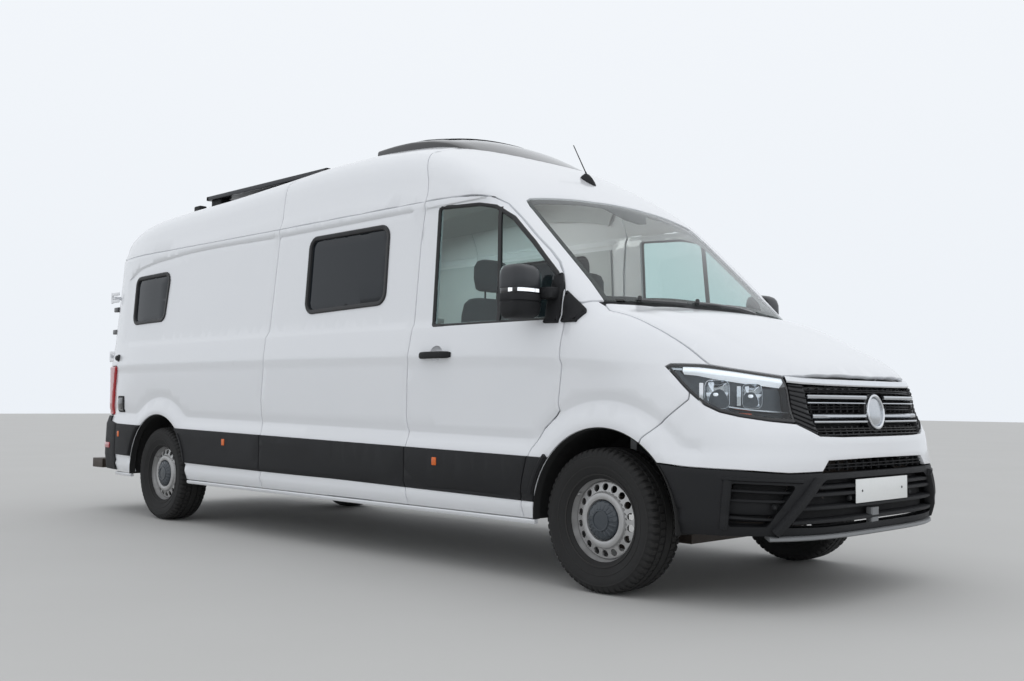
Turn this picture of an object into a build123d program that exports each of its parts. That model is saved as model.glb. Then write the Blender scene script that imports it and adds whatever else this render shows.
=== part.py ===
"""High-roof, long-wheelbase camper van, built as separate named pieces.

Frame: +X forward, +Y to the left, +Z up, origin on the ground under the middle of the overall box.
Sizes are in millimetres. fore(d) is the place d ahead of the front axle.
"""
import math
import os

from build123d import *

# ---- driving dimensions -------------------------------------------------------------------------
WHEELBASE = 4490
FRONT_TIP = 995          # front axle to the number plate
REAR_TIP = 5800          # front axle to the back of the entrance step
FRONT_AXLE_X = (REAR_TIP - FRONT_TIP) / 2
TRACK = 1718             # between the middles of the two tyres
AXLE_Z = 356             # tyre radius, 235/65 R16
RIM_R = 203              # bead seat of a 16 inch rim

WALL = 60                # body side with its inner lining
GUTTER_Z = 2092          # where the roof meets the side
FLOOR_Z = 560            # top of the load floor
FLOOR_T = 40
GAP = 7                  # shut line between a door and what frames it

DOOR_FRONT = -235        # cab door's front edge, from the front axle
DOOR_REAR = -1450
SEAM_REAR = -2975        # joint between the middle and rear side panels
SQUEEZE_START = -4850    # where the side starts to draw in towards the rear doors
BODY_REAR = -5360        # where the rear frame starts
REAR_FACE = -5560        # outer face of the rear doors
FRAME_REAR = -5350       # rear end of the chassis frame

ARCH_R = 455             # wheel opening in the body side
FRONT_ARCH_FORE = 45     # the front opening's centre lies a little ahead of its axle
KINGPIN_Y = 775
SPINDLE_R = 22
BORE_R = 22.05           # running fit on the spindle

HINGE_IN = 30            # cab door hinge axis behind the outer skin
HINGE_R = 36             # radius of the door's front edge about its hinge axis
SKIN_Y = 1012            # widest line of the body side
HINGE_X = DOOR_FRONT - HINGE_R
HINGE_Y = SKIN_Y - HINGE_IN

REAR_HINGE_X = REAR_FACE - 6
REAR_HINGE_Y = 896
REAR_HINGE_Z = (720, 1290, 1790)
BONNET_HINGE_X = 105
BONNET_HINGE_Y = 350
BONNET_HINGE_Z = 1372
PIN_R = 6
BARREL_R = 11
BARREL_HALF = 13         # half the length of a hinge's moving barrel
BARREL_GAP = 5
BRACKET_HALF = 45        # half the height of a hinge's fixed bracket

# side section: z, y of the outer skin
SIDE = ((330, 985), (445, 1006), (700, SKIN_Y), (785, 984), (1140, 1003), (1186, SKIN_Y),
        (1370, 988), (1400, 977), (GUTTER_Z, 943))

# roof sections, one row each: place ahead of the front axle, then y, z from the gutter to the crown
ROOF_FRONT = (
    (-690, (850, 2066), (845, 2078), (835, 2090), (800, 2102), (600, 2118), (300, 2128), (0, 2130)),
    (-1000, (930, 2092), (915, 2130), (900, 2190), (860, 2250), (760, 2300), (400, 2345), (0, 2358)),
    (-1390, (945, 2092), (930, 2130), (893, 2290), (862, 2365), (800, 2420), (450, 2490), (0, 2510)),
)
ROOF_REAR = (
    (-1390, (945, 2092), (930, 2130), (893, 2290), (862, 2365), (800, 2420), (450, 2490), (0, 2510)),
    (-1900, (945, 2092), (930, 2130), (888, 2330), (862, 2395), (800, 2445), (450, 2545), (0, 2570)),
    (-2600, (945, 2092), (930, 2130), (888, 2330), (862, 2395), (800, 2450), (450, 2560), (0, 2590)),
    (-4750, (945, 2092), (930, 2125), (885, 2310), (855, 2375), (790, 2430), (430, 2545), (0, 2575)),
    (BODY_REAR, (885, 2092), (872, 2110), (830, 2240), (800, 2300), (740, 2345), (380, 2430), (0, 2455)),
)
ROOF_T = 45

# front wing sections: place, then y, z of the outer skin from the sill up
WING = (
    (-495, (985, 330), (1006, 445), (1012, 700), (984, 785), (1003, 1140), (1012, 1180),
     (994, 1300), (950, 1385), (870, 1425)),
    (-60, (985, 330), (1006, 445), (1012, 700), (990, 800), (1001, 1060), (1008, 1180),
     (980, 1290), (940, 1355), (835, 1432)),
    (220, (985, 330), (1003, 445), (1010, 700), (990, 850), (990, 1000), (978, 1150),
     (933, 1250), (880, 1305), (800, 1338)),
    (450, (970, 330), (984, 445), (983, 700), (957, 800), (943, 1000), (903, 1100),
     (860, 1165), (825, 1205), (770, 1240)),
    (640, (925, 330), (940, 445), (930, 700), (915, 800), (860, 970), (800, 1075),
     (760, 1110), (730, 1125), (690, 1140)),
)
FLARE_TOP_R = 500        # where an arch's flare leaves its flat lip
FLARE_FOOT_R = 625       # where it meets the side

# bonnet sections: place, half width, height at the edge, at half way and at the middle
BONNET = (
    (90, 840, 1378, 1432, 1450),
    (280, 845, 1296, 1382, 1400),
    (450, 825, 1208, 1320, 1340),
    (565, 800, 1115, 1262, 1290),
    (690, 718, 1085, 1205, 1235),
    (806, 596, 1072, 1155, 1173),
    (880, 470, 1062, 1112, 1124),
    (940, 250, 1060, 1066, 1068),
)
BONNET_T = 28

# plan of the nose at bumper height: place ahead of the axle, y
NOSE = ((990, 0), (972, 420), (905, 680), (775, 880), (600, 975), (470, 1005))
# the same at the lamps' height, where the nose has drawn in
NOSE_HIGH = ((945, 0), (925, 400), (845, 640), (700, 838), (560, 912), (430, 960))
NOSE_END = 300           # the bumper's rear edge
BUMPER_T = 60

os.makedirs("parts", exist_ok=True)


def fore(d):
    """Row-frame x of a place d ahead of the front axle."""
    return FRONT_AXLE_X + d


def save(name, piece):
    piece.label = name
    export_step(piece, f"parts/{name}.step")


def cut_polygon(points, depth, grow=0, corner_r=0):
    """A prism across the whole width over the x, z outline given from the front axle."""
    with BuildPart() as prism:
        with BuildSketch(Plane.XZ.offset(-depth)) as prism_outline:
            with BuildLine():
                Polyline(*[(fore(x), z) for x, z in points], close=True)
            make_face()
            if grow:
                offset(amount=grow, kind=Kind.INTERSECTION)
            if corner_r:
                fillet(prism_outline.vertices(), radius=corner_r)
        extrude(amount=2 * depth)
    return prism.part


def block(x0, x1, y0, y1, z0, z1):
    """A plain box between the limits given; x is from the front axle."""
    with BuildPart() as made:
        with BuildSketch(Plane.XY.offset(z0)):
            with Locations((fore((x0 + x1) / 2), (y0 + y1) / 2)):
                Rectangle(x1 - x0, y1 - y0)
        extrude(amount=z1 - z0)
    return made.part


def across(x, z, radius, y0, y1):
    """A cylinder along Y; x is from the front axle."""
    with BuildPart() as made:
        with BuildSketch(Plane.XZ.offset(-y0)):
            with Locations((fore(x), z)):
                Circle(radius)
        extrude(amount=-(y1 - y0))
    return made.part


def upright(x, y, radius, z0, z1):
    """A cylinder along Z; x is from the front axle."""
    with BuildPart() as made:
        with BuildSketch(Plane.XY.offset(z0)):
            with Locations((fore(x), y)):
                Circle(radius)
        extrude(amount=z1 - z0)
    return made.part


def ruled(sections):
    """A ruled loft through closed y, z outlines, each with its place ahead of the front axle."""
    with BuildPart() as made:
        for x, points in sections:
            with BuildSketch(Plane.YZ.offset(fore(x))):
                with BuildLine():
                    Polyline(*points, close=True)
                make_face()
        loft(ruled=True)
    return made.part


def side_band(x0, x1, thick, squeeze=()):
    """The right body side between two places; squeeze rows are place and how far in the skin comes."""
    rows = [(x0, 0)] + list(squeeze) + ([] if squeeze and squeeze[-1][0] == x1 else [(x1, 0)])
    sections = []
    for x, inward in rows:
        outer = [(-(y - inward), z) for z, y in SIDE]
        inner = [(-(y - inward - thick), z) for z, y in reversed(SIDE)]
        sections.append((x, outer + inner))
    return ruled(sections)


def other_side(piece):
    with BuildPart() as made:
        mirror(piece, about=Plane.XZ)
    return made.part


def flare(x):
    """The raised ring round a right-hand wheel opening, before the opening is cut."""
    with BuildPart() as made:
        for y, radius in ((960, FLARE_FOOT_R), (984, FLARE_FOOT_R), (SKIN_Y, FLARE_TOP_R)):
            with BuildSketch(Plane.XZ.offset(y)):
                with Locations((fore(x), AXLE_Z)):
                    Circle(radius)
        loft(ruled=True)
        add(block(x - 700, x + 700, -1100, 0, -300, 445), mode=Mode.SUBTRACT)
    return made.part


# ---- cab door outline, which the pillars and wings are cut back from ----------------------------
DOOR_SIDE = ((DOOR_FRONT, 882), (DOOR_FRONT, 1556), (-381, 1747), (-545, 1902), (-645, 1990),
             (-803, 2053), (-966, 2077), (-1384, 2085), (-1423, 1287), (-1452, 938), (-1436, 649),
             (-1393, 335), (-491, 335), (-491, 426), (-477, 532), (-442, 657), (-385, 742), (-294, 836))
door_clearance_side = cut_polygon(DOOR_SIDE, 1100, grow=GAP + 2)
with BuildPart() as door_clearance_right:
    add(side_band(-1475, -180, WALL + 2 * GAP))
    add(door_clearance_side, mode=Mode.INTERSECT)

# ---- body sides ---------------------------------------------------------------------------------
MID_WINDOW = ((-2555, 1500), (-2490, 1995), (-1590, 1985), (-1655, 1490))
REAR_WINDOW = ((-5030, 1535), (-4985, 1925), (-4385, 1925), (-4450, 1530))
WINDOW_CORNER_R = 75
DOOR_GAP_REAR = DOOR_REAR - GAP

with BuildPart() as side_right_mid:
    add(side_band(SEAM_REAR + 2, DOOR_GAP_REAR + 75, WALL))
    add(cut_polygon(((SEAM_REAR + 2, 320), (SEAM_REAR + 2, 2095), (-1384 - GAP, 2095), (-1423 - GAP, 1287),
                     (-1452 - GAP, 938), (-1436 - GAP, 649), (-1393 - GAP, 320)), 1100), mode=Mode.INTERSECT)
    add(cut_polygon(MID_WINDOW, 1100, corner_r=WINDOW_CORNER_R), mode=Mode.SUBTRACT)
save("side_right_mid", side_right_mid.part)

with BuildPart() as sliding_door:
    add(other_side(side_right_mid.part))
save("sliding_door", sliding_door.part)

with BuildPart() as side_right_rear:
    add(side_band(SEAM_REAR, BODY_REAR, WALL, squeeze=((SQUEEZE_START, 0), (BODY_REAR, 60))))
    add(flare(-WHEELBASE))
    add(cut_polygon(REAR_WINDOW, 1100, corner_r=WINDOW_CORNER_R), mode=Mode.SUBTRACT)
    add(across(-WHEELBASE, AXLE_Z, ARCH_R, -1100, 0), mode=Mode.SUBTRACT)
save("side_right_rear", side_right_rear.part)
save("side_left_rear", other_side(side_right_rear.part))

# ---- glazing of the living space ----------------------------------------------------------------
GLASS_T = 22             # double acrylic panes


def window_pane(outline):
    xs = [x for x, z in outline]
    with BuildPart() as pane:
        add(side_band(min(xs), max(xs), GLASS_T))
        add(cut_polygon(outline, 1100, grow=-2, corner_r=WINDOW_CORNER_R), mode=Mode.INTERSECT)
    return pane.part


with BuildPart() as side_windows:
    for outline in (MID_WINDOW, REAR_WINDOW):
        pane = window_pane(outline)
        add(pane)
        add(other_side(pane))
save("side_windows", side_windows.part)

# ---- roof ---------------------------------------------------------------------------------------


def roof_shell(rows):
    def closed(points, inset):
        right = [(-(max(y - inset, 0)), z - inset * (0.5 if i < 2 else 1)) for i, (y, z) in enumerate(points)]
        left = [(-y, z) for y, z in reversed(right[:-1])]
        return right + left

    outer = [(row[0], closed(row[1:], 0)) for row in rows]
    inner = [(row[0], [(y, z if 2 < i < 10 else z - 60) for i, (y, z) in enumerate(closed(row[1:], ROOF_T))])
             for row in rows]
    first, last = inner[0], inner[-1]
    with BuildPart() as shell:
        add(ruled(outer))
        add(ruled([(first[0] + 5, first[1])] + inner[1:-1] + [(last[0] - 5, last[1])]), mode=Mode.SUBTRACT)
    return shell.part


save("roof_front", roof_shell(ROOF_FRONT))
save("roof_rear", roof_shell(ROOF_REAR))

# ---- front pillars, windscreen, scuttle ---------------------------------------------------------
# height, then x, y of the windscreen edge, the bulge, the door edge outside and inside, the inner edge
PILLAR = (
    (1432, (-48, 826), (-40, 930), (-228, 984), (-228, 924), (-150, 826)),
    (1560, (-182, 817), (-140, 920), (-238, 968), (-238, 908), (-235, 817)),
    (1745, (-376, 806), (-345, 905), (-374, 962), (-374, 902), (-425, 806)),
    (1900, (-539, 796), (-508, 890), (-538, 955), (-538, 895), (-590, 796)),
    (1993, (-637, 790), (-606, 885), (-638, 950), (-638, 890), (-690, 790)),
    (2064, (-692, 786), (-680, 850), (-796, 946), (-796, 886), (-760, 786)),
)
with BuildPart() as pillar_right:
    for z, *points in PILLAR:
        with BuildSketch(Plane.XY.offset(z)):
            with BuildLine():
                Polyline(*[(fore(x), -y) for x, y in points], close=True)
            make_face()
    loft(ruled=True)
with BuildPart() as windscreen_pillars:
    add(pillar_right.part)
    add(door_clearance_right.part, mode=Mode.SUBTRACT)
    mirror(about=Plane.XZ)
save("windscreen_pillars", windscreen_pillars.part)

# height, place at the corner, half way and middle, half width
SCREEN = ((1452, -70, 22, 56, 818), (2066, -700, -660, -645, 778))
SCREEN_T = 12
with BuildPart() as windscreen:
    for z, corner, half, middle, width in SCREEN:
        front = [(corner, -width), (half, -width * 0.55), (middle, 0), (half, width * 0.55), (corner, width)]
        back = [(x - SCREEN_T * 1.6, y) for x, y in reversed(front)]
        with BuildSketch(Plane.XY.offset(z)):
            with BuildLine():
                Polyline(*[(fore(x), y) for x, y in front + back], close=True)
            make_face()
    loft(ruled=True)
save("windscreen", windscreen.part)

with BuildPart() as scuttle:
    with BuildSketch(Plane.XY.offset(1395)):
        with BuildLine():
            Polyline(*[(fore(x), y) for x, y in ((-110, -765), (-62, -765), (15, -450), (34, 0), (15, 450),
                                                 (-62, 765), (-110, 765))], close=True)
        make_face()
    extrude(amount=30)
    for y in (-BONNET_HINGE_Y, BONNET_HINGE_Y):
        add(block(-25, 12, y - 30, y + 30, 1360, 1396))
        for inner, outer in ((y - 30, y - BARREL_HALF - BARREL_GAP), (y + BARREL_HALF + BARREL_GAP, y + 30)):
            add(block(-25, BONNET_HINGE_X, inner, outer, 1360, 1368))
            add(across(BONNET_HINGE_X, BONNET_HINGE_Z, BARREL_R, inner, outer))
        add(across(BONNET_HINGE_X, BONNET_HINGE_Z, PIN_R, y - 30, y + 30))
save("scuttle", scuttle.part)

# ---- headlamps ----------------------------------------------------------------------------------
# height, then the lamp's plan: outer edge from back to front and inner edge back again
LAMP_PLANS = (
    (840, ((480, 968), (587, 916), (655, 880), (727, 832), (824, 738), (893, 618), (820, 570), (740, 680),
           (640, 790), (460, 880))),
    (1122, ((380, 936), (455, 892), (522, 851), (563, 822), (669, 741), (806, 600), (740, 550), (620, 650),
            (520, 750), (370, 850))),
)
LAMP_SIDE = ((388, 1108), (406, 1119), (560, 1113), (669, 1092), (806, 1062), (828, 1010), (890, 848),
             (824, 858), (727, 877), (651, 897), (587, 928), (517, 986), (441, 1060))


# what the bonnet takes up when shut, with its gap, from its underside up
bonnet_room = ruled([(x, [(-(wide + GAP), edge - BONNET_T - GAP), (wide + GAP, edge - BONNET_T - GAP),
                          (wide + GAP, 1500), (-(wide + GAP), 1500)]) for x, wide, edge, *_ in BONNET])


def lamp_solid(grow=0):
    with BuildPart() as made:
        for z, plan in LAMP_PLANS:
            with BuildSketch(Plane.XY.offset(z)):
                with BuildLine():
                    Polyline(*[(fore(x), -y) for x, y in plan], close=True)
                make_face()
                if grow:
                    offset(amount=grow, kind=Kind.INTERSECTION)
        loft(ruled=True)
        add(cut_polygon(LAMP_SIDE, 1100, grow=grow), mode=Mode.INTERSECT)
        add(bonnet_room, mode=Mode.SUBTRACT)
    return made.part


lamp_right = lamp_solid()
with BuildPart() as headlamps:
    add(lamp_right)
    add(other_side(lamp_right))
save("headlamps", headlamps.part)

# ---- front wings --------------------------------------------------------------------------------
WING_SIDE = ((-228, 1432), (0, 1440), (610, 1200), (610, 1044), (516, 963), (408, 869), (300, 775),
             (300, 340), (-485, 330), (-484, 426), (-470, 532), (-432, 652), (-368, 732), (-273, 828),
             (-222, 878))
with BuildPart() as wing_right:
    rows = []
    for x, *outer in WING:
        inner = [(y - 55, z if i < 6 else z - 35) for i, (y, z) in enumerate(outer)]
        rows.append((x, [(-y, z) for y, z in outer] + [(-y, z) for y, z in reversed(inner)]))
    add(ruled(rows))
    add(flare(FRONT_ARCH_FORE))
    add(cut_polygon(WING_SIDE, 1100), mode=Mode.INTERSECT)
    add(across(FRONT_ARCH_FORE, AXLE_Z, ARCH_R, -1100, 0), mode=Mode.SUBTRACT)
    add(upright(DOOR_FRONT - HINGE_R, -HINGE_Y, HINGE_R + GAP, 800, 1440), mode=Mode.SUBTRACT)
    add(lamp_solid(grow=4), mode=Mode.SUBTRACT)
    with BuildSketch(Plane.XY.offset(1000)):
        with BuildLine():
            edge = [(fore(x), -(wide + GAP)) for x, wide, *_ in ((0, BONNET[0][1]),) + BONNET]
            Polyline((fore(0), 0), *edge, (fore(BONNET[-1][0]), 0), close=True)
        make_face()
    extrude(amount=500, mode=Mode.SUBTRACT)
with BuildPart() as front_wings:
    add(wing_right.part)
    add(other_side(wing_right.part))
save("front_wings", front_wings.part)

# ---- bonnet -------------------------------------------------------------------------------------
with BuildPart() as bonnet:
    rows = []
    for x, wide, edge, half, middle in BONNET:
        top = [(-wide, edge), (-wide * 0.9, edge + (half - edge) * 0.45), (-wide / 2, half), (0, middle),
               (wide / 2, half), (wide * 0.9, edge + (half - edge) * 0.45), (wide, edge)]
        rows.append((x, top + [(y, z - BONNET_T) for y, z in reversed(top)]))
    add(ruled(rows))
    for y in (-BONNET_HINGE_Y, BONNET_HINGE_Y):
        near, far = y - BARREL_HALF, y + BARREL_HALF
        add(block(BONNET_HINGE_X - 8, BONNET_HINGE_X + 8, near, far, BONNET_HINGE_Z, 1406))
        add(across(BONNET_HINGE_X, BONNET_HINGE_Z, BARREL_R, near, far))
        add(across(BONNET_HINGE_X, BONNET_HINGE_Z, PIN_R + 0.3, near, far), mode=Mode.SUBTRACT)
save("bonnet", bonnet.part)

# ---- grille and bumper --------------------------------------------------------------------------
# height, place at the corner, half way and middle, half width
GRILLE = ((792, 950, 972, 985, 500), (1026, 868, 928, 948, 527))
# the slanting pieces out to the lamps: height, then x, y at the grille and at the lamp
GRILLE_ENDS = ((800, (940, 508), (897, 600)), (1020, (866, 533), (812, 588)))
GRILLE_BARS = ((848, 857), (869, 892), (936, 945), (957, 980), (1003, 1026))
BADGE_Z = 899
BADGE_R = 95


GRILLE_DEPTH = 50


def grille_layer(z0, z1, out):
    """The grille between two heights, its face out mm ahead of the drawn line."""
    (foot_z, *foot), (top_z, *top) = GRILLE
    with BuildPart() as layer:
        for z in (z0, z1):
            up = (z - foot_z) / (top_z - foot_z)
            corner, half, middle, width = [low + (high - low) * up for low, high in zip(foot, top)]
            front = [(corner, -width), (half, -width / 2), (middle, 0), (half, width / 2), (corner, width)]
            back = [(x - GRILLE_DEPTH, y) for x, y in reversed(front)]
            with BuildSketch(Plane.XY.offset(z)):
                with BuildLine():
                    Polyline(*[(fore(x + out), y) for x, y in front + back], close=True)
                make_face()
        loft(ruled=True)
    return layer.part


with BuildPart() as grille:
    add(grille_layer(GRILLE[0][0], GRILLE[1][0], -25))
    for z0, z1 in GRILLE_BARS:
        add(grille_layer(z0, z1, 0))
    with BuildSketch(Plane.YZ.offset(fore(925))):
        with Locations((0, BADGE_Z)):
            Circle(BADGE_R)
    extrude(amount=55)
    for z, (x0, y0), (x1, y1) in GRILLE_ENDS:
        with BuildSketch(Plane.XY.offset(z)):
            with BuildLine():
                Polyline((fore(x0), -y0), (fore(x1), -y1), (fore(x1 - 40), 35 - y1), (fore(x0 - 40), 15 - y0),
                         close=True)
            make_face()
    loft(ruled=True)
    mirror(about=Plane.XZ)
save("grille", grille.part)


def nose_section(plan, out):
    """One level of the bumper's band round the nose, out mm ahead of the plan's line."""
    right = [(x + out, -(y + (out if y > 900 else 0))) for x, y in plan]
    rear_y = plan[-1][1] + (out if out > 0 else 0)
    inner = [(x - BUMPER_T - (25 if y < -700 else 0), y + (BUMPER_T if y < -600 else 0)) for x, y in right]
    return right + [(NOSE_END, -rear_y), (NOSE_END, BUMPER_T - rear_y)] + list(reversed(inner))


def nose_band(*levels):
    """The bumper's band through levels of height, plan and offset."""
    with BuildPart() as band:
        for z, plan, out in levels:
            with BuildSketch(Plane.XY.offset(z)):
                with BuildLine():
                    Polyline(*[(fore(x), y) for x, y in nose_section(plan, out)], close=True)
                make_face()
        loft(ruled=True)
        mirror(about=Plane.XZ)
        add(across(FRONT_ARCH_FORE, AXLE_Z, ARCH_R, -1100, 1100), mode=Mode.SUBTRACT)
    return band.part


def nose_recess(outline, deep):
    """What lies inside a y, z outline and no deeper than deep mm behind the bumper's face."""
    with BuildPart() as cutter:
        with BuildSketch(Plane.YZ.offset(fore(550))):
            with BuildLine():
                Polyline(*outline, close=True)
            make_face()
        extrude(amount=600)
        with BuildSketch(Plane.XY.offset(300)):
            with BuildLine():
                right = [(fore(x - deep), -y) for x, y in NOSE]
                Polyline(*right, *[(x, -y) for x, y in reversed(right)], close=True)
            make_face()
        extrude(amount=400, mode=Mode.SUBTRACT)
    return cutter.part


PAINTED_SIDE = ((300, 640), (300, 761), (408, 855), (516, 949), (585, 920), (651, 890), (727, 870),
                (824, 851), (888, 841), (950, 784), (1010, 784), (1010, 640))
with BuildPart() as bumper_painted:
    add(nose_band((642, NOSE, -4), (790, NOSE, -8), (955, NOSE_HIGH, 0)))
    add(block(600, 1010, -612, 612, 788, 960), mode=Mode.SUBTRACT)
    add(cut_polygon(PAINTED_SIDE, 1100), mode=Mode.INTERSECT)
save("bumper_painted", bumper_painted.part)

TOWING_EYE_Y = -440
TOWING_EYE_Z = 520
FOG_RECESS = ((-905, 586), (-655, 575), (-785, 376), (-909, 376))
FOG_SLATS = (425, 490, 540)
INTAKE_SLOTS = ((372, 398), (411, 459), (472, 519), (532, 592))
PLATE = (520, 112)
PLATE_Z = 526
with BuildPart() as fog_recess:
    add(nose_recess(FOG_RECESS, 22))
    for z in FOG_SLATS:
        add(block(500, 1010, -1000, -600, z - 5, z + 5), mode=Mode.SUBTRACT)
with BuildPart() as bumper_lower:
    add(nose_band((318, NOSE, 5), (640, NOSE, 5)))
    add(fog_recess.part, mode=Mode.SUBTRACT)
    add(other_side(fog_recess.part), mode=Mode.SUBTRACT)
    for z0, z1 in INTAKE_SLOTS:
        foot, top = [525 + (592 - z) * 0.6 for z in (z0, z1)]
        add(nose_recess(((-foot, z0), (-top, z1), (top, z1), (foot, z0)), 30), mode=Mode.SUBTRACT)
    add(block(984, 1010, -PLATE[0] / 2 - 1, PLATE[0] / 2 + 1, PLATE_Z - PLATE[1] / 2 - 1,
              PLATE_Z + PLATE[1] / 2 + 1), mode=Mode.SUBTRACT)
    with BuildSketch(Plane.YZ.offset(fore(800))):
        with Locations((TOWING_EYE_Y, TOWING_EYE_Z)):
            Circle(32)
    extrude(amount=250, mode=Mode.SUBTRACT)
save("bumper_lower", bumper_lower.part)

with BuildPart() as number_plate:
    add(block(984, 995, -PLATE[0] / 2, PLATE[0] / 2, PLATE_Z - PLATE[1] / 2, PLATE_Z + PLATE[1] / 2))
save("number_plate", number_plate.part)

# ---- sills and side mouldings -------------------------------------------------------------------
with BuildPart() as side_mouldings:
    for x0, x1 in ((SEAM_REAR + 3, DOOR_GAP_REAR + 8), (-4490 + ARCH_R + 8, SEAM_REAR - 3)):
        strip = block(x0, x1, -1024, -SKIN_Y, 448, 700)
        add(strip)
        add(other_side(strip))
save("side_mouldings", side_mouldings.part)

# ---- rear frame, doors, lamps, bumper, step -----------------------------------------------------
DOOR_T = 58
REAR_DOOR = ((6, 610), (6, 2388), (360, 2372), (700, 2290), (768, 2230), (826, 2060), (862, 1400),
             (884, 1186), (884, 610))
REAR_OPENING = ((-1, 590), (776, 590), (776, 2090), (690, 2220), (380, 2340), (-1, 2352))
REAR_OUTLINE = ((925, 330), (946, 445), (952, 700), (924, 785), (943, 1140), (952, 1186), (928, 1370),
                (917, 1400), (883, 2092), (872, 2110), (830, 2240), (800, 2300), (740, 2345), (380, 2430),
                (0, 2455))


def rear_leaf(outline, x0, x1):
    with BuildPart() as leaf:
        with BuildSketch(Plane.YZ.offset(fore(x0))):
            with BuildLine():
                Polyline(*[(-y, z) for y, z in outline], close=True)
            make_face()
        extrude(amount=x1 - x0)
    return leaf.part


def width_at(outline, z):
    """Half width of an outline of y, z points at a height."""
    for (y0, z0), (y1, z1) in zip(outline, outline[1:]):
        if z0 != z1 and min(z0, z1) <= z <= max(z0, z1) and min(y0, y1) > 400:
            return y0 + (y1 - y0) * (z - z0) / (z1 - z0)


def rear_section(shrink):
    right = [(-(y - shrink if y else 0), z - (shrink if z > 2200 else 0)) for y, z in REAR_OUTLINE]
    return right + [(-y, z) for y, z in reversed(right[:-1])]


with BuildPart() as rear_frame:
    add(ruled([(BODY_REAR, rear_section(0)), (REAR_FACE + 110, rear_section(12)),
               (REAR_FACE + 65, rear_section(45))]))
    add(rear_leaf(REAR_OPENING, REAR_FACE - 100, BODY_REAR + 100), mode=Mode.SUBTRACT)
    add(other_side(rear_leaf(REAR_OPENING, REAR_FACE - 100, BODY_REAR + 100)), mode=Mode.SUBTRACT)
    add(block(REAR_FACE - 100, BODY_REAR + 100, -776, 776, 300, 500), mode=Mode.SUBTRACT)
    for middle in REAR_HINGE_Z:
        beside = width_at(REAR_DOOR, middle) + 8
        for z0, z1 in ((middle - BRACKET_HALF, middle - BARREL_HALF - BARREL_GAP),
                       (middle + BARREL_HALF + BARREL_GAP, middle + BRACKET_HALF)):
            add(upright(REAR_HINGE_X, -REAR_HINGE_Y, BARREL_R, z0, z1))
            add(block(REAR_HINGE_X, REAR_FACE + 120, -REAR_HINGE_Y - BARREL_R, -beside, z0, z1))
            add(upright(REAR_HINGE_X, REAR_HINGE_Y, BARREL_R, z0, z1))
            add(block(REAR_HINGE_X, REAR_FACE + 120, beside, REAR_HINGE_Y + BARREL_R, z0, z1))
        for y in (-REAR_HINGE_Y, REAR_HINGE_Y):
            add(upright(REAR_HINGE_X, y, PIN_R, middle - BRACKET_HALF, middle + BRACKET_HALF))
save("rear_frame", rear_frame.part)

REAR_DOOR_WINDOW = ((120, 1480), (120, 1960), (690, 1960), (730, 1480))


with BuildPart() as rear_door_right:
    add(rear_leaf(REAR_DOOR, REAR_FACE, REAR_FACE + DOOR_T))
    add(rear_leaf(REAR_DOOR_WINDOW, REAR_FACE - 10, REAR_FACE + DOOR_T + 10), mode=Mode.SUBTRACT)
    chamfer(rear_door_right.edges().filter_by(Axis.Z).filter_by_position(Axis.Y, -7, -5)
            .sort_by(Axis.X)[-1], length=10)
    for middle in REAR_HINGE_Z:
        z0, z1 = middle - BARREL_HALF, middle + BARREL_HALF
        add(block(REAR_FACE - 8, REAR_FACE + 1, -REAR_HINGE_Y, 70 - width_at(REAR_DOOR, middle), z0, z1))
        add(upright(REAR_HINGE_X, -REAR_HINGE_Y, BARREL_R, z0, z1))
        add(upright(REAR_HINGE_X, -REAR_HINGE_Y, PIN_R + 0.3, z0, z1), mode=Mode.SUBTRACT)
save("rear_door_right", rear_door_right.part)
save("rear_door_left", other_side(rear_door_right.part))

with BuildPart() as rear_glass_right:
    add(rear_leaf([(y + (2 if y < 400 else -2), z + (2 if z < 1700 else -2)) for y, z in REAR_DOOR_WINDOW],
                  REAR_FACE + 6, REAR_FACE + 22))
save("rear_glass_right", rear_glass_right.part)
save("rear_glass_left", other_side(rear_glass_right.part))

with BuildPart() as tail_lamps:
    lamp = block(REAR_FACE + 4, REAR_FACE + 64, -944, -892, 795, 1203)
    add(lamp)
    add(other_side(lamp))
save("tail_lamps", tail_lamps.part)

with BuildPart() as rear_bumper:
    add(block(REAR_FACE - 42, REAR_FACE + 62, -940, 940, 440, 600))
save("rear_bumper", rear_bumper.part)

with BuildPart() as rear_step:
    add(block(-REAR_TIP, REAR_FACE - 46, -850, 850, 345, 425))
    for y in (-500, 500):
        add(block(REAR_FACE - 100, FRAME_REAR, y - 30, y + 30, 426, 438))
        add(block(REAR_FACE - 100, REAR_FACE - 46, y - 30, y + 30, 420, 438))
save("rear_step", rear_step.part)

# ---- floor, engine and running gear -------------------------------------------------------------
with BuildPart() as floor:
    add(block(BODY_REAR + 6, -4900, -885, 885, FLOOR_Z - FLOOR_T, FLOOR_Z))
    add(block(-4910, -460, -920, 920, FLOOR_Z - FLOOR_T, FLOOR_Z))
    add(block(-462, 10, -480, 480, FLOOR_Z - FLOOR_T, FLOOR_Z))
    for y in (-1, 1):
        lo, hi = sorted((y * 690, y * 895))
        add(block(-WHEELBASE - 500, -WHEELBASE + 500, lo, hi, FLOOR_Z - 5, 860))
        lo, hi = sorted((y * 715, y * 930))
        add(block(-WHEELBASE - 475, -WHEELBASE + 475, lo, hi, 400, 835), mode=Mode.SUBTRACT)
    add(block(-30, 10, -680, 680, FLOOR_Z - FLOOR_T, 1340))
save("floor", floor.part)

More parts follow.
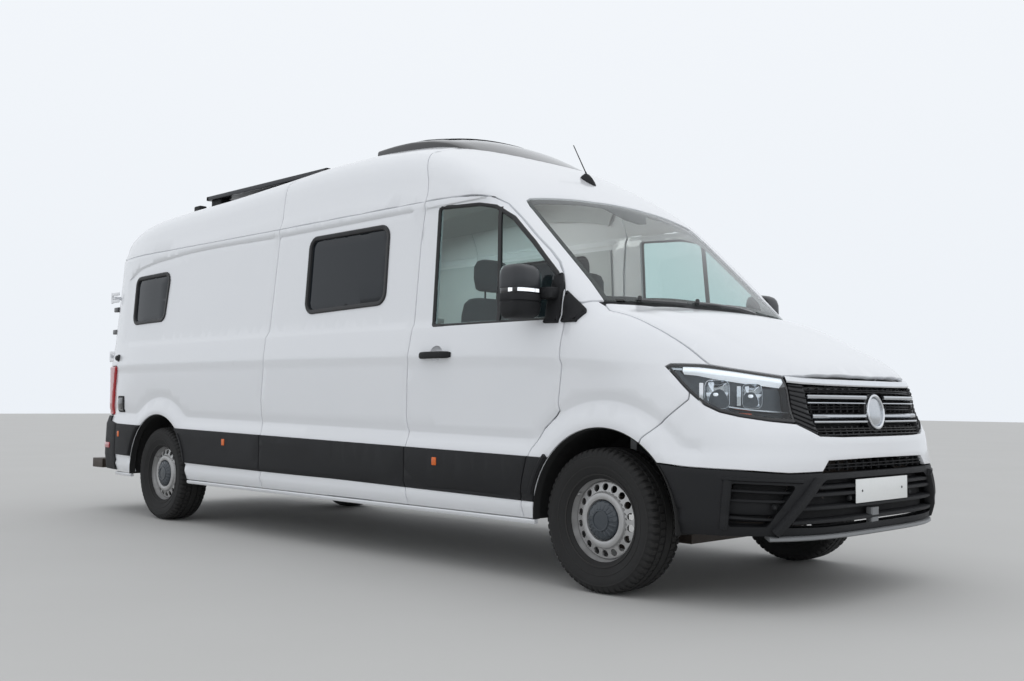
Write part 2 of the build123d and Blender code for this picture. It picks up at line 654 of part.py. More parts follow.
RAIL_Y = 440
RAIL_HALF = 35
RAIL_BOTTOM = 410
RAIL_TOP = FLOOR_Z - FLOOR_T
TOW_BAR_HOLES = (500, 70)      # spacing along Y and Z of the tow bar's bolts
TOW_BAR_HOLE_R = 6.5
TOWING_EYE_R = 10
TOWING_EYE_DEPTH = 60
JACK_PADS = (-760, -3860)
tow_bar_face = Plane(origin=(fore(FRAME_REAR), 0, (RAIL_BOTTOM + RAIL_TOP) / 2), x_dir=(0, 1, 0), z_dir=(-1, 0, 0))
eye_face = Plane(origin=(fore(925), TOWING_EYE_Y, TOWING_EYE_Z), x_dir=(0, 1, 0), z_dir=(1, 0, 0))
with BuildPart() as frame_rails:
    for y in (-RAIL_Y, RAIL_Y):
        add(block(FRAME_REAR + 30, 870, y - RAIL_HALF, y + RAIL_HALF, RAIL_BOTTOM, RAIL_TOP))
        add(block(860, 870, y - 70, y + 70, 400, 620))
    for x in JACK_PADS:
        for y in (-RAIL_Y, RAIL_Y):
            add(upright(x, y, 30, RAIL_BOTTOM - 12, RAIL_BOTTOM))
    with BuildSketch(eye_face):
        Circle(22)
    extrude(amount=-TOWING_EYE_DEPTH - 20)
    with BuildSketch(eye_face):
        Circle(TOWING_EYE_R)
    extrude(amount=-TOWING_EYE_DEPTH, mode=Mode.SUBTRACT)
save("frame_rails", frame_rails.part)

with BuildPart() as cross_members:
    add(block(FRAME_REAR, FRAME_REAR + 30, -560, 560, RAIL_BOTTOM, RAIL_TOP))
    for x in (-3450, -1700):
        add(block(x - 25, x + 25, RAIL_HALF - RAIL_Y, RAIL_Y - RAIL_HALF, RAIL_BOTTOM + 40, RAIL_TOP - 10))
    with BuildSketch(tow_bar_face):
        with GridLocations(*TOW_BAR_HOLES, 2, 2):
            Circle(TOW_BAR_HOLE_R)
    extrude(amount=-50, mode=Mode.SUBTRACT)
save("cross_members", cross_members.part)

with BuildPart() as front_subframe:
    add(block(-150, 150, RAIL_HALF - RAIL_Y, RAIL_Y - RAIL_HALF, 210, 290))
    for y in (-1, 1):
        lo, hi = sorted((y * (RAIL_Y - RAIL_HALF), y * 790))
        add(block(-35, 35, lo, hi, 206, 232))
        lo, hi = sorted((y * (RAIL_Y - RAIL_HALF - 30), y * (RAIL_Y - RAIL_HALF)))
        add(block(-150, -90, lo, hi, 210, RAIL_TOP))
        add(block(90, 150, lo, hi, 210, RAIL_TOP))
save("front_subframe", front_subframe.part)

with BuildPart() as engine:
    add(block(170, 640, -400, 400, 330, 900))
save("engine", engine.part)

with BuildPart() as rear_axle:
    add(across(-WHEELBASE, AXLE_Z, 45, -700, 700))
    for y in (-1, 1):
        lo, hi = sorted((y * 695, y * 862))
        add(across(-WHEELBASE, AXLE_Z, SPINDLE_R, lo, hi))
        lo, hi = sorted((y * 560, y * 640))
        add(block(-5200, -3780, lo, hi, 390, 425))
        add(block(-4550, -4430, lo, hi, 340, 400))
        add(block(-5230, -5170, lo, hi, 390, 520))
        add(block(-3810, -3750, lo, hi, 390, 520))
save("rear_axle", rear_axle.part)

with BuildPart() as fuel_tank:
    add(block(-3300, -1900, 120, 390, 330, 500))
save("fuel_tank", fuel_tank.part)

# ---- cab ----------------------------------------------------------------------------------------
WHEEL_TILT = 55
with BuildPart() as steering_wheel:
    hub_plane = Plane(origin=(fore(-720), -450, 1210), x_dir=(0, 1, 0),
                      z_dir=(-math.cos(math.radians(WHEEL_TILT)), 0, math.sin(math.radians(WHEEL_TILT))))
    with BuildSketch(hub_plane):
        Circle(192)
        Circle(165, mode=Mode.SUBTRACT)
        Rectangle(340, 36)
        Circle(62)
    extrude(amount=26)
    with BuildSketch(hub_plane):
        Circle(22)
    extrude(amount=-240)
save("steering_wheel", steering_wheel.part)

with BuildPart() as dashboard:
    add(block(-520, -40, -755, 755, 1150, 1385))
    add(block(-520, -240, -755, 755, 1040, 1152))
    add(block(-640, -515, -500, -400, 1040, 1110))
    add(steering_wheel.part, mode=Mode.SUBTRACT)
save("dashboard", dashboard.part)

with BuildPart() as cab_seats:
    for y in (-450, 450):
        add(block(-1330, -850, y - 245, y + 245, 780, 930))
        add(block(-1290, -900, y - 190, y + 190, FLOOR_Z, 780))
        add(block(-1380, -1250, y - 235, y + 235, 930, 1560))
        add(block(-1370, -1270, y - 130, y + 130, 1600, 1800))
        add(block(-1330, -1310, y - 60, y + 60, 1560, 1600))
save("cab_seats", cab_seats.part)

# ---- living space -------------------------------------------------------------------------------
with BuildPart() as kitchen_unit:
    add(block(-2900, -1800, -905, -430, FLOOR_Z, 1470))
save("kitchen_unit", kitchen_unit.part)

BED_REAR = -5320
with BuildPart() as bed:
    add(block(BED_REAR, BED_REAR + 1610, -850, 850, 1080, 1200))
    for x in (BED_REAR + 60, BED_REAR + 1550):
        for y in (-640, 640):
            add(block(x - 25, x + 25, y - 25, y + 25, FLOOR_Z, 1080))
save("bed", bed.part)

# ---- roof fittings ------------------------------------------------------------------------------
roof_under_panel = ruled([(row[0], [(-y, z) for y, z in row[1:]] + [(y, z) for y, z in reversed(row[1:-1])])
                          for row in ROOF_REAR[3:1:-1]])
with BuildPart() as solar_panel:
    add(block(-4810, -3080, -450, 450, 2598, 2630))
    for x in (-4700, -3190):
        add(block(x - 40, x + 40, -420, 420, 2560, 2600))
    add(roof_under_panel, mode=Mode.SUBTRACT)
save("solar_panel", solar_panel.part)

with BuildPart() as roof_light:
    with BuildSketch(Plane.XZ.offset(-400)):
        with BuildLine():
            Polyline(*[(fore(x), z) for x, z in ((-2330, 2588), (-2330, 2612), (-2150, 2640), (-1900, 2655),
                                                 (-1700, 2640), (-1560, 2590), (-1540, 2540), (-1900, 2576))],
                     close=True)
        make_face()
    extrude(amount=800)
save("roof_light", roof_light.part)

# ---- cab doors ----------------------------------------------------------------------------------
DOOR_WINDOW = ((-1240, 1384), (-1222, 2036), (-913, 2022), (-740, 1980), (-605, 1902), (-372, 1662),
               (-372, 1384))
DOOR_WINDOW_R = 45
hinge_x = fore(HINGE_X)
with BuildPart() as door_right:
    add(side_band(-1460, -200, WALL))
    add(cut_polygon(DOOR_SIDE, 1100), mode=Mode.INTERSECT)
    with BuildSketch(Plane.XY.offset(800)):
        with Locations((hinge_x + 40, -HINGE_Y - 40)):
            Rectangle(80, 80)
        with Locations((hinge_x, -HINGE_Y)):
            Circle(HINGE_R, mode=Mode.SUBTRACT)
    extrude(amount=1300, mode=Mode.SUBTRACT)
    add(cut_polygon(DOOR_WINDOW, 1100, corner_r=DOOR_WINDOW_R), mode=Mode.SUBTRACT)
    add(block(-1297, -1038, -1036, -1020, 1172, 1200))
    for x in (-1285, -1050):
        add(block(x - 12, x + 12, -1025, -990, 1174, 1198))
save("door_right", door_right.part)
save("door_left", other_side(door_right.part))

glass_sheet = side_band(-1300, -300, 14).moved(Location((0, 14, 0)))
with BuildPart() as door_glass_right:
    add(glass_sheet)
    add(cut_polygon(DOOR_WINDOW, 1100, grow=-2, corner_r=DOOR_WINDOW_R - 2), mode=Mode.INTERSECT)
save("door_glass_right", door_glass_right.part)
save("door_glass_left", other_side(door_glass_right.part))

# height, length and width of the mirror's housing
MIRROR_CAP = ((1355, 120, 150), (1385, 165, 182), (1430, 175, 191), (1590, 175, 191), (1625, 150, 172),
              (1640, 110, 140))
with BuildPart() as mirror_right:
    for z, long, wide in MIRROR_CAP:
        with BuildSketch(Plane.XY.offset(z)):
            with Locations((fore(-400), -1118)):
                RectangleRounded(long, wide, 40)
    loft(ruled=True)
    add(block(-400, -262, -1030, -985, 1440, 1500))
    add(cut_polygon(((-372, 1400), (-372, 1620), (-262, 1500), (-262, 1400)), 1030), mode=Mode.ADD)
    add(side_band(-500, -200, 200), mode=Mode.SUBTRACT)
    add(block(-700, -100, -940, 1100, 1300, 1700), mode=Mode.SUBTRACT)
save("mirror_right", mirror_right.part)
save("mirror_left", other_side(mirror_right.part))

# ---- wheels and knuckles ------------------------------------------------------------------------
# tyre section: radius, place across the wheel
TYRE = ((RIM_R, -70), (221, -75), (221, -86), (RIM_R + 60, -108), (RIM_R + 100, -117.5), (AXLE_Z - 30, -112),
        (AXLE_Z, -88), (AXLE_Z, 88), (AXLE_Z - 30, 112), (RIM_R + 100, 117.5), (RIM_R + 60, 108), (221, 86),
        (221, 75), (RIM_R, 70))
# rim section: radius, place across the wheel (outboard positive)
RIM = ((BORE_R, -30), (60, -30), (80, 20), (150, 40), (178, 28), (186, -40), (185, -82.5), (220, -82.5),
       (220, -76), (202.8, -72), (202.8, 72), (220, 76), (220, 82.5), (212, 82.5), (196, 74), (193, 45),
       (172, 46), (150, 56), (95, 40), (84, 74), (40, 80), (0, 80), (0, 5), (BORE_R, 5))
HOLE_RING_R = 163
HOLE_R = 19
HOLES = 18
HOLE_DEPTH = 70
WHEELS = (("fl", 0, 1), ("fr", 0, -1), ("rl", -WHEELBASE, 1), ("rr", -WHEELBASE, -1))
for name, x, side in WHEELS:
    spin = Plane(origin=(fore(x), side * TRACK / 2, AXLE_Z), x_dir=(1, 0, 0), z_dir=(0, side, 0))
    radial = Plane(origin=spin.origin, x_dir=(0, 0, 1), z_dir=(-side, 0, 0))
    with BuildPart() as tyre:
        with BuildSketch(radial):
            with BuildLine():
                Polyline(*TYRE, close=True)
            make_face()
        revolve(axis=Axis(spin.origin, (0, 1, 0)))
    save(f"tyre_{name}", tyre.part)
    with BuildPart() as rim:
        with BuildSketch(radial):
            with BuildLine():
                Polyline(*RIM, close=True)
            make_face()
        revolve(axis=Axis(spin.origin, (0, 1, 0)))
        with BuildSketch(spin):
            with PolarLocations(HOLE_RING_R, HOLES):
                Circle(HOLE_R)
        extrude(amount=HOLE_DEPTH, mode=Mode.SUBTRACT)
    save(f"rim_{name}", rim.part)

for name, side in (("fl", 1), ("fr", -1)):
    with BuildPart() as knuckle:
        add(upright(0, side * KINGPIN_Y, 30, 240, 470))
        lo, hi = sorted((side * (KINGPIN_Y - 10), side * 862))
        add(across(0, AXLE_Z, SPINDLE_R, lo, hi))
        lo, hi = sorted((side * (KINGPIN_Y - 45), side * (KINGPIN_Y - 10)))
        add(block(-160, 0, lo, hi, 330, 380))
    save(f"knuckle_{name}", knuckle.part)
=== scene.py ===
import math

import bmesh
import bpy
import numpy as np
from mathutils import Matrix, Vector
from mathutils.geometry import delaunay_2d_cdt


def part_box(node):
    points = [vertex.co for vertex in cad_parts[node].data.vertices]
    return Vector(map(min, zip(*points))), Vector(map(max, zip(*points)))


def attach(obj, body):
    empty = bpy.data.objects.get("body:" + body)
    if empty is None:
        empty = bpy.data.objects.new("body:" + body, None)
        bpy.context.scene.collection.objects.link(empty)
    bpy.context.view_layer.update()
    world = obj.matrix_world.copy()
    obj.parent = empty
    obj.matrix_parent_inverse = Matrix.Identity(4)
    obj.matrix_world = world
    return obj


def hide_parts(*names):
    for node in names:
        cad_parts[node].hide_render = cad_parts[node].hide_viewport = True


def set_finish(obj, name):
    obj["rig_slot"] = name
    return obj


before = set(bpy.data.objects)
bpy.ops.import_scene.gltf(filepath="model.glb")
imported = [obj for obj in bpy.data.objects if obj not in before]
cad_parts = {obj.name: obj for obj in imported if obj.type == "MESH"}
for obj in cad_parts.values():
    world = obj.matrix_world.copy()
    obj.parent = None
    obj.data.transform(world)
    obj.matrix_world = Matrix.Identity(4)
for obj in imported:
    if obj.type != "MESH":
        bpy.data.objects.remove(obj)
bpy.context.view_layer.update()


# ---- camera --------------------------------------------------------------------------------------
# A long-ish lens at chest height, ahead of the right front corner and looking a little upwards.
# The place is given ahead of the front axle and to the left of the centre line, in metres.
AXLE_X = sum(corner[0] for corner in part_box("tyre_fr")) / 2
CAMERA_PLACE = (3.611, -5.122, .935)
CAMERA_HEADING = math.radians(135.45)
CAMERA_TILT = math.radians(3.144)
CAMERA_ROLL = math.radians(.488)
LENS = 39.12

camera = bpy.data.objects.new("camera", bpy.data.cameras.new("camera"))
bpy.context.collection.objects.link(camera)
camera.data.lens = LENS
camera.data.sensor_width = 36
camera.location = Vector(CAMERA_PLACE) + Vector((AXLE_X, 0, 0))
camera.rotation_euler = (
    Matrix.Rotation(CAMERA_HEADING - math.pi / 2, 3, "Z")
    @ Matrix.Rotation(math.pi / 2 + CAMERA_TILT, 3, "X")
    @ Matrix.Rotation(CAMERA_ROLL, 3, "Z")
).to_euler()
bpy.context.scene.camera = camera


# ---- floor and light -----------------------------------------------------------------------------
# A pale, dull studio floor under an even, cloudy sky: bright overhead, paler at the horizon.
def nodes_of(owner):
    owner.use_nodes = True
    tree = owner.node_tree
    tree.nodes.clear()
    return tree


def node(tree, kind, inputs=(), **settings):
    made = tree.nodes.new("ShaderNode" + kind)
    for name, value in settings.items():
        setattr(made, name, value)
    for name, value in dict(inputs).items():
        if isinstance(value, bpy.types.NodeSocket):
            tree.links.new(value, made.inputs[name])
        else:
            made.inputs[name].default_value = value
    return made


SKY_OVERHEAD = (.95, .97, 1.0, 1)
SKY_HORIZON = (.84, .88, .93, 1)
SKY_STRENGTH = 1.0

sky = bpy.data.worlds.new("sky")
bpy.context.scene.world = sky
bpy.context.scene.view_settings.view_transform = "Standard"
tree = nodes_of(sky)
direction = node(tree, "SeparateXYZ", {"Vector": node(tree, "TexCoord").outputs["Generated"]})
height = node(tree, "MapRange", {"Value": direction.outputs["Z"], "From Min": -.05, "From Max": .8})
shade = node(tree, "Mix", {"Factor": height.outputs["Result"]}, data_type="RGBA")
shade.inputs[6].default_value, shade.inputs[7].default_value = SKY_HORIZON, SKY_OVERHEAD
glow = node(tree, "Background", {"Color": shade.outputs[2], "Strength": SKY_STRENGTH})
tree.links.new(glow.outputs["Background"], node(tree, "OutputWorld").inputs["Surface"])


def soft_light(name, place, aim, size, watts, colour=(1, 1, 1)):
    light = bpy.data.lights.new(name, "AREA")
    light.shape, light.size, light.size_y = "RECTANGLE", *size
    light.energy, light.color = watts, colour
    lamp = bpy.data.objects.new(name, light)
    bpy.context.collection.objects.link(lamp)
    lamp.location = place
    lamp.rotation_euler = (Vector(place) - Vector(aim)).to_track_quat("Z", "Y").to_euler()


soft_light("nose_light", (9, -3, 5), (2, 0, 1), (6, 4), 45)
bpy.data.objects["nose_light"].visible_glossy = False


def ground_material():
    material = bpy.data.materials.new("studio_floor")
    tree = nodes_of(material)
    place = node(tree, "TexCoord").outputs["Object"]
    cloud = node(tree, "TexNoise", {"Vector": place, "Scale": .7, "Detail": 3})
    tint = node(tree, "Mix", {"Factor": cloud.outputs["Fac"]}, data_type="RGBA")
    tint.inputs[6].default_value, tint.inputs[7].default_value = (.50, .495, .48, 1), (.54, .535, .52, 1)
    skin = node(tree, "BsdfPrincipled", {"Base Color": tint.outputs[2], "Roughness": .85})
    tree.links.new(skin.outputs["BSDF"], node(tree, "OutputMaterial").inputs["Surface"])
    return material


FLOOR_HALF = 60
floor_mesh = bpy.data.meshes.new("studio_floor")
corners = [(x * FLOOR_HALF, y * FLOOR_HALF, 0) for x, y in ((-1, -1), (1, -1), (1, 1), (-1, 1))]
floor_mesh.from_pydata(corners, [], [(0, 1, 2, 3)])
floor_mesh.materials.append(ground_material())
studio_floor = bpy.data.objects.new("studio_floor", floor_mesh)
bpy.context.collection.objects.link(studio_floor)


# ---- chassis, axles and tank ---------------------------------------------------------------------
# Black-painted pressed steel rails and cross members under a galvanised floor, with a cast rear
# axle on leaf springs, forged front knuckles and a blow-moulded plastic tank.
def finish(name, colour, rough, second=None, patch=3.0, metal=0.0, grain=0.0, grain_size=300.0,
           edge_wear_and_highlight=None, coat=0.0, **more):
    """A worked finish: two colours drifting into each other, uneven gloss and a fine grain."""
    material = bpy.data.materials.new(name)
    tree = nodes_of(material)
    place = node(tree, "TexCoord").outputs["Object"]
    drift = node(tree, "TexNoise", {"Vector": place, "Scale": patch, "Detail": 5, "Roughness": .6})
    tint = node(tree, "Mix", {"Factor": drift.outputs["Fac"]}, data_type="RGBA")
    second = second or tuple(c * .86 for c in colour)
    tint.inputs[6].default_value, tint.inputs[7].default_value = (*colour, 1), (*second, 1)
    gloss = node(tree, "MapRange",
                 {"Value": drift.outputs["Fac"], "To Min": rough * .85, "To Max": rough * 1.15})
    surface = tint.outputs[2]
    # Convex edges can take another colour: real wear on the chassis and tyres, a painted highlight on the
    # silver wheels' edges.
    if edge_wear_and_highlight:
        amount, edge_colour = edge_wear_and_highlight
        edge = node(tree, "MapRange", {"Value": node(tree, "NewGeometry").outputs["Pointiness"],
                                       "From Min": .52, "From Max": .60, "To Max": amount})
        edge_mix = node(tree, "Mix", {"Factor": edge.outputs["Result"]}, data_type="RGBA")
        tree.links.new(surface, edge_mix.inputs[6])
        edge_mix.inputs[7].default_value = (*edge_colour, 1)
        surface = edge_mix.outputs[2]
    skin = node(tree, "BsdfPrincipled", {"Base Color": surface, "Roughness": gloss.outputs["Result"],
                                         "Metallic": metal, "Coat Weight": coat, **more})
    if grain:
        pits = node(tree, "TexNoise", {"Vector": place, "Scale": grain_size, "Detail": 4})
        bump = node(tree, "Bump", {"Height": pits.outputs["Fac"], "Strength": grain, "Distance": .002})
        tree.links.new(bump.outputs["Normal"], skin.inputs["Normal"])
    tree.links.new(skin.outputs["BSDF"], node(tree, "OutputMaterial").inputs["Surface"])
    return material


def refinish(material, *names):
    for name in names:
        made = bpy.data.objects[name]
        for each in made.material_slots:
            each.material = material


chassis_black = finish("chassis_black", (.018, .018, .018), .55, (.035, .03, .025), grain=.3, grain_size=120,
                       edge_wear_and_highlight=(.6, (.10, .07, .05)))
galvanised = finish("galvanised", (.42, .43, .44), .45, (.30, .31, .32), patch=9, metal=.8, grain=.15)
tank_black = finish("tank_black", (.02, .02, .021), .5, grain=.4, grain_size=200)
cast_iron = finish("cast_iron", (.05, .045, .04), .6, (.09, .065, .05), patch=12, metal=.4, grain=.6,
                   grain_size=90)
refinish(chassis_black, "frame_rails", "cross_members", "front_subframe", "rear_step")
refinish(cast_iron, "rear_axle", "knuckle_fl", "knuckle_fr", "engine")
refinish(galvanised, "floor")
refinish(tank_black, "fuel_tank")


# ---- body skin -----------------------------------------------------------------------------------
# The body is pressed steel about a millimetre thick, drawn to one flowing skin. One rule says where
# that skin lies, and each panel below is a piece cut from it. Places run ahead of the front axle.
def through(x, *stops):
    """A smooth curve through (place, value) stops, straight beyond its ends."""
    px, pv = np.array(sorted(stops), float).T
    slope = np.gradient(pv, px)
    i = np.clip(np.searchsorted(px, x) - 1, 0, len(px) - 2)
    span = px[i + 1] - px[i]
    t = np.clip((x - px[i]) / span, 0, 1)
    curve = ((1 + 2 * t) * (1 - t) ** 2 * pv[i] + t * (1 - t) ** 2 * span * slope[i]
             + t * t * (3 - 2 * t) * pv[i + 1] + t * t * (t - 1) * span * slope[i + 1])
    return curve + np.minimum(x - px[0], 0) * slope[0] + np.maximum(x - px[-1], 0) * slope[-1]


def rise(x, start, end):
    """0 before start, 1 after end, eased between."""
    t = np.clip((x - start) / (end - start), 0, 1)
    return t * t * (3 - 2 * t)


def blend_max(a, b, k):
    """The larger of two values, with the corner between them rounded."""
    near = np.maximum(k - np.abs(a - b), 0) / k
    return np.maximum(a, b) + near * near * k / 4


ARCHES = ((.045, .356), (-4.49, .356))
ARCH_R = .455
LIP_R = .497
FLARE = .131
GUTTER_Z = 2.10


def band_z(x):
    """Top edge of the black side moulding, which climbs a little to the back."""
    return .650 - .0155 * x


def moulding_foot_z(x):
    return .415 - .0115 * x


def waist_z(x):
    return 1.140 + .070 * (1 - np.exp(np.minimum(x, .6) / 1.2))


def ledge_z(x):
    return through(x, (-5.2, 1.362), (-1.4, 1.362), (-.2, 1.350))


def recess_top_z(x):
    return through(x, (-5.2, 1.91), (-5.03, 1.969), (-4.8, 2.005), (-4.4, 2.035), (-2.7, 2.047),
                   (-1.45, 2.057))


def flare_step(x, z):
    """0 on the outer edge of the moulding and the arches' lips, 1 where their flare meets the panel."""
    rings = np.minimum(*[np.hypot(x - cx, z - cz) for cx, cz in ARCHES])
    return -blend_max(-(z - band_z(x)) / .12, -(rings - LIP_R) / FLARE, .30)


def side_y(x, z):
    """Half width of the body's side, with its pressings."""
    step = flare_step(x, z)
    shoulder = np.interp(step, (0, .06, .66, .76, .98, 1.04), (1.012, 1.010, .980, .979, .989, .990))
    waist = waist_z(x)
    swell = .014 * np.clip((z - .82) / (waist - .85), 0, 1) * rise(step, .7, 1.04)
    swell = swell + .008 * rise(z, waist - .032, waist)
    tumble = np.interp(z, (1.20, 1.38, 2.10, 2.14, 2.5, 2.8), (0, -.024, -.067, -.083, -.172, -.26))
    ledge, top = ledge_z(x), recess_top_z(x)
    recess = .011 * rise(z, ledge - .016, ledge + .02) * rise(-x, -.1,
                                                              .25) * (1 - rise(z, top - .004, top + .006))
    corner = np.hypot(np.maximum(-5.04 - x, 0), np.maximum(ledge + .16 - z, 0))
    recess = recess * (1 - rise(corner, .13, .17))
    groove = .010 * np.exp(-((z - top - .004) / .008) ** 2) * rise(-x, 1.45,
                                                                   1.49) * (1 - rise(-x, 5.10, 5.16))
    sill = np.interp(z, (.30, .33, .405, .43, .445), (-.030, -.024, .0, -.008, -.012)) * rise(-z, -.47, -.445)
    tail = np.interp(z, (.5, 1.0, 2.0), (.046, .056, .068)) * np.clip((-4.80 - x) / .56, 0, 1.3) ** 2
    return shoulder + swell + tumble - recess - groove + sill - tail


def bonnet_z(x, y):
    centre = through(x, (-.15, 1.475), (.05, 1.452), (.3, 1.395), (.55, 1.30), (.75, 1.205), (.88, 1.125),
                     (.95, 1.065), (1.02, .98))
    drop = through(x, (-.1, .04), (.1, .05), (.45, .09), (.62, .12), (.9, .13))
    ridge = through(x, (-.1, .66), (.45, .60), (.92, .50))
    raised = .010 * (1 - rise(np.abs(y), ridge - .03, ridge + .05)) * rise(x, 0, .25)
    return centre - drop * (np.abs(y) / .8) ** 2.2 + raised - .010


def cab_z(x, y):
    """The windscreen, the dome over it and the roof."""
    ahead = x + .132 * (y / .824) ** 2
    centre = through(ahead, (.40, 1.14), (.06, 1.455), (-.30, 1.792), (-.64, 2.095), (-.8, 2.215),
                     (-1.0, 2.34),
                     (-1.2, 2.445), (-1.5, 2.555), (-1.9, 2.618), (-2.4, 2.627), (-3.0, 2.598), (-3.8, 2.562),
                     (-4.4, 2.545), (-4.8, 2.525), (-5.16, 2.475), (-5.36, 2.425), (-5.66, 2.32))
    return centre - .14 * (np.abs(y) / .8) ** 2.7 * rise(-x, .75, 2.1)


def rear_x(z):
    """The rear end, which leans a little forwards to its top."""
    return through(z, (.4, -5.585), (1.2, -5.568), (1.6, -5.545), (2.1, -5.505), (2.45, -5.475))


def body(p):
    """Below zero inside the skin and above zero outside it, for rows of x, y, z."""
    x, y, z = p.T
    side = side_y(x, z)
    reach = through(z, (.33, .985), (.45, .99), (.62, .99), (.70, .985), (.79, .982), (.90, .950),
                    (1.025, .962), (1.2, .95))
    square = through(z, (.3, 3.6), (.75, 3.5), (.9, 3.0), (1.025, 2.5), (1.1, 2.2), (1.4, 2.2))
    round_nose = ((np.maximum(x, 0) / reach) ** square + (np.abs(y) / side) ** square) ** (1 / square)
    lid = (z - np.maximum(bonnet_z(x, y), cab_z(x, y))) * .8
    soft = through(x, (-5.56, .12), (-4.8, .08), (-1.5, .08), (-1.0, .08), (-.75, .08), (-.35, .05),
                   (-.05, .18), (.3, .20), (.55, .13), (.95, .05))
    return blend_max(blend_max((round_nose - 1) * side, lid, soft), rear_x(z) - x, .10)


def outward(p):
    """The skin's outward direction at points on it."""
    h = 1e-4
    slope = np.stack([body(p + h * axis) - body(p - h * axis) for axis in np.eye(3)], 1)
    return slope / np.linalg.norm(slope, axis=1)[:, None]


def meet(origin, direction):
    """Where rays from inside the body reach its skin."""
    low, high = np.zeros(len(origin)), np.full(len(origin), 1.4)
    for _ in range(24):
        middle = (low + high) / 2
        inside = body(origin + middle[:, None] * direction) < 0
        low, high = np.where(inside, middle, low), np.where(inside, high, middle)
    return origin + high[:, None] * direction


# Ways to lay a flat sheet of drawing paper over the skin of the right-hand side.
def on_side(p):
    """Paper place x, z: straight out from the centre line."""
    x, z = p.T
    zero = np.zeros_like(x)
    return meet(np.stack([x, zero, z], 1), np.tile((0., -1, 0), (len(x), 1)))


def on_top(p):
    """Paper place x, w: straight up near the middle, then round a knee and down the right side."""
    return over(p, top_knee)


def on_wing(p):
    """Paper place x, w: as over the roof, but round one level knee inside the wing."""
    return over(p, wing_knee)


KNEE_Y = .55
KNEE_R = .35
KNEE_DEPTH = .30
WING_KNEE_Z = 1.10
KNEE_END = KNEE_Y + KNEE_R * math.pi / 2


def over(p, knee):
    x, w = p.T
    turn = np.clip((np.abs(w) - KNEE_Y) / KNEE_R, 0, math.pi / 2)
    y = np.minimum(np.abs(w), KNEE_Y)
    z = knee(x) - np.maximum(np.abs(w) - KNEE_END, 0)
    side = np.where(w < 0, 1, -1)
    return meet(np.stack([x, side * y, z], 1), np.stack([0 * x, side * np.sin(turn), np.cos(turn)], 1))


def paper_over(points, knee):
    """Paper places of 3-D points that lie on the skin's right half."""
    x, y, z = np.array(points, float).T
    height, out = z - knee(x), np.abs(y) - KNEE_Y
    turned = KNEE_Y + KNEE_R * (math.pi / 2 - np.arctan2(height, out))
    w = np.where((out < 0) & (height > 0), np.abs(y), np.where(height > 0, turned, KNEE_END - height))
    return np.stack([x, w], 1)


def top_knee(x):
    return np.maximum(bonnet_z(x, KNEE_Y), cab_z(x, KNEE_Y)) - KNEE_DEPTH


def wing_knee(x):
    return np.full_like(x, WING_KNEE_Z)


NOSE_PIVOT = (.30, .45)
NOSE_R = .65
NOSE_END = NOSE_PIVOT[1] + NOSE_R * math.pi / 2


def on_nose(p):
    """Paper place s, z: s is along the front from the centre line, then round the corner and back."""
    s, z = p.T
    turn = np.clip((np.abs(s) - NOSE_PIVOT[1]) / NOSE_R, 0, math.pi / 2)
    side = np.where(s < 0, 1, -1)
    x = NOSE_PIVOT[0] - np.maximum(np.abs(s) - NOSE_END, 0)
    y = np.minimum(np.abs(s), NOSE_PIVOT[1])
    return meet(np.stack([x, side * y, z], 1), np.stack([np.cos(turn), side * np.sin(turn), 0 * x], 1))


def paper_nose(points):
    x, y, z = np.array(points, float).T
    ahead, out = x - NOSE_PIVOT[0], np.abs(y) - NOSE_PIVOT[1]
    s = np.where((out < 0) & (ahead > 0), np.abs(y),
                 NOSE_PIVOT[1] + NOSE_R * np.arctan2(out, np.maximum(ahead, 0)))
    return np.stack([s + np.maximum(-ahead, 0), z], 1)


TAIL_PIVOT = (-5.21, .72)
TAIL_R = .32


def on_tail(p):
    """Paper place u, z: u runs back along the side, then round the rear corner."""
    u, z = p.T
    turn = np.clip((u + TAIL_PIVOT[0]) / TAIL_R, 0, math.pi / 2)
    x = np.maximum(-u, TAIL_PIVOT[0])
    y = -TAIL_PIVOT[1] + np.maximum(u + TAIL_PIVOT[0] - TAIL_R * math.pi / 2, 0)
    return meet(np.stack([x, y, z], 1), np.stack([-np.sin(turn), -np.cos(turn), 0 * x], 1))


def walk(points, step=.03, closed=False):
    """The same line with more points on its long stretches."""
    points = [np.array(p, float) for p in points]
    rest = points[1:] + points[:1] if closed else points[1:]
    made = []
    for a, b in zip(points, rest):
        n = max(1, math.ceil(np.linalg.norm(b - a) / step))
        made += [a + (b - a) * i / n for i in range(n)]
    return np.array(made if closed else made + [points[-1]])


def rounded(points, radius, arc=6):
    """A closed outline with its corners turned by arcs."""
    points = np.array(points, float)
    made = []
    for before, here, after in zip(np.roll(points, 1, 0), points, np.roll(points, -1, 0)):
        a, b = before - here, after - here
        a, b = a / np.linalg.norm(a), b / np.linalg.norm(b)
        half = math.acos(np.clip(a @ b, -1, 1)) / 2
        back = radius / math.tan(half)
        centre = here + (a + b) / np.linalg.norm(a + b) * radius / math.sin(half)
        start, end = here + a * back - centre, here + b * back - centre
        for t in np.linspace(0, 1, arc):
            spoke = start * (1 - t) + end * t
            made.append(centre + spoke / np.linalg.norm(spoke) * radius)
    return np.array(made)


def contains(loop, points):
    a, b = loop, np.roll(loop, -1, 0)
    x, y = points[:, :1], points[:, 1:]
    crosses = (a[:, 1] > y) != (b[:, 1] > y)
    at = (b[:, 0] - a[:, 0]) * (y - a[:, 1]) / (b[:, 1] - a[:, 1] + 1e-15) + a[:, 0]
    return (crosses & (x < at)).sum(1) % 2 == 1


def clearance(loop, points):
    """Distance from points to a closed loop."""
    a, run = loop, np.roll(loop, -1, 0) - loop
    to = points[:, None] - a
    t = np.clip((to * run).sum(2) / ((run * run).sum(1) + 1e-15), 0, 1)
    return np.sqrt(((to - t[..., None] * run) ** 2).sum(2).min(1))


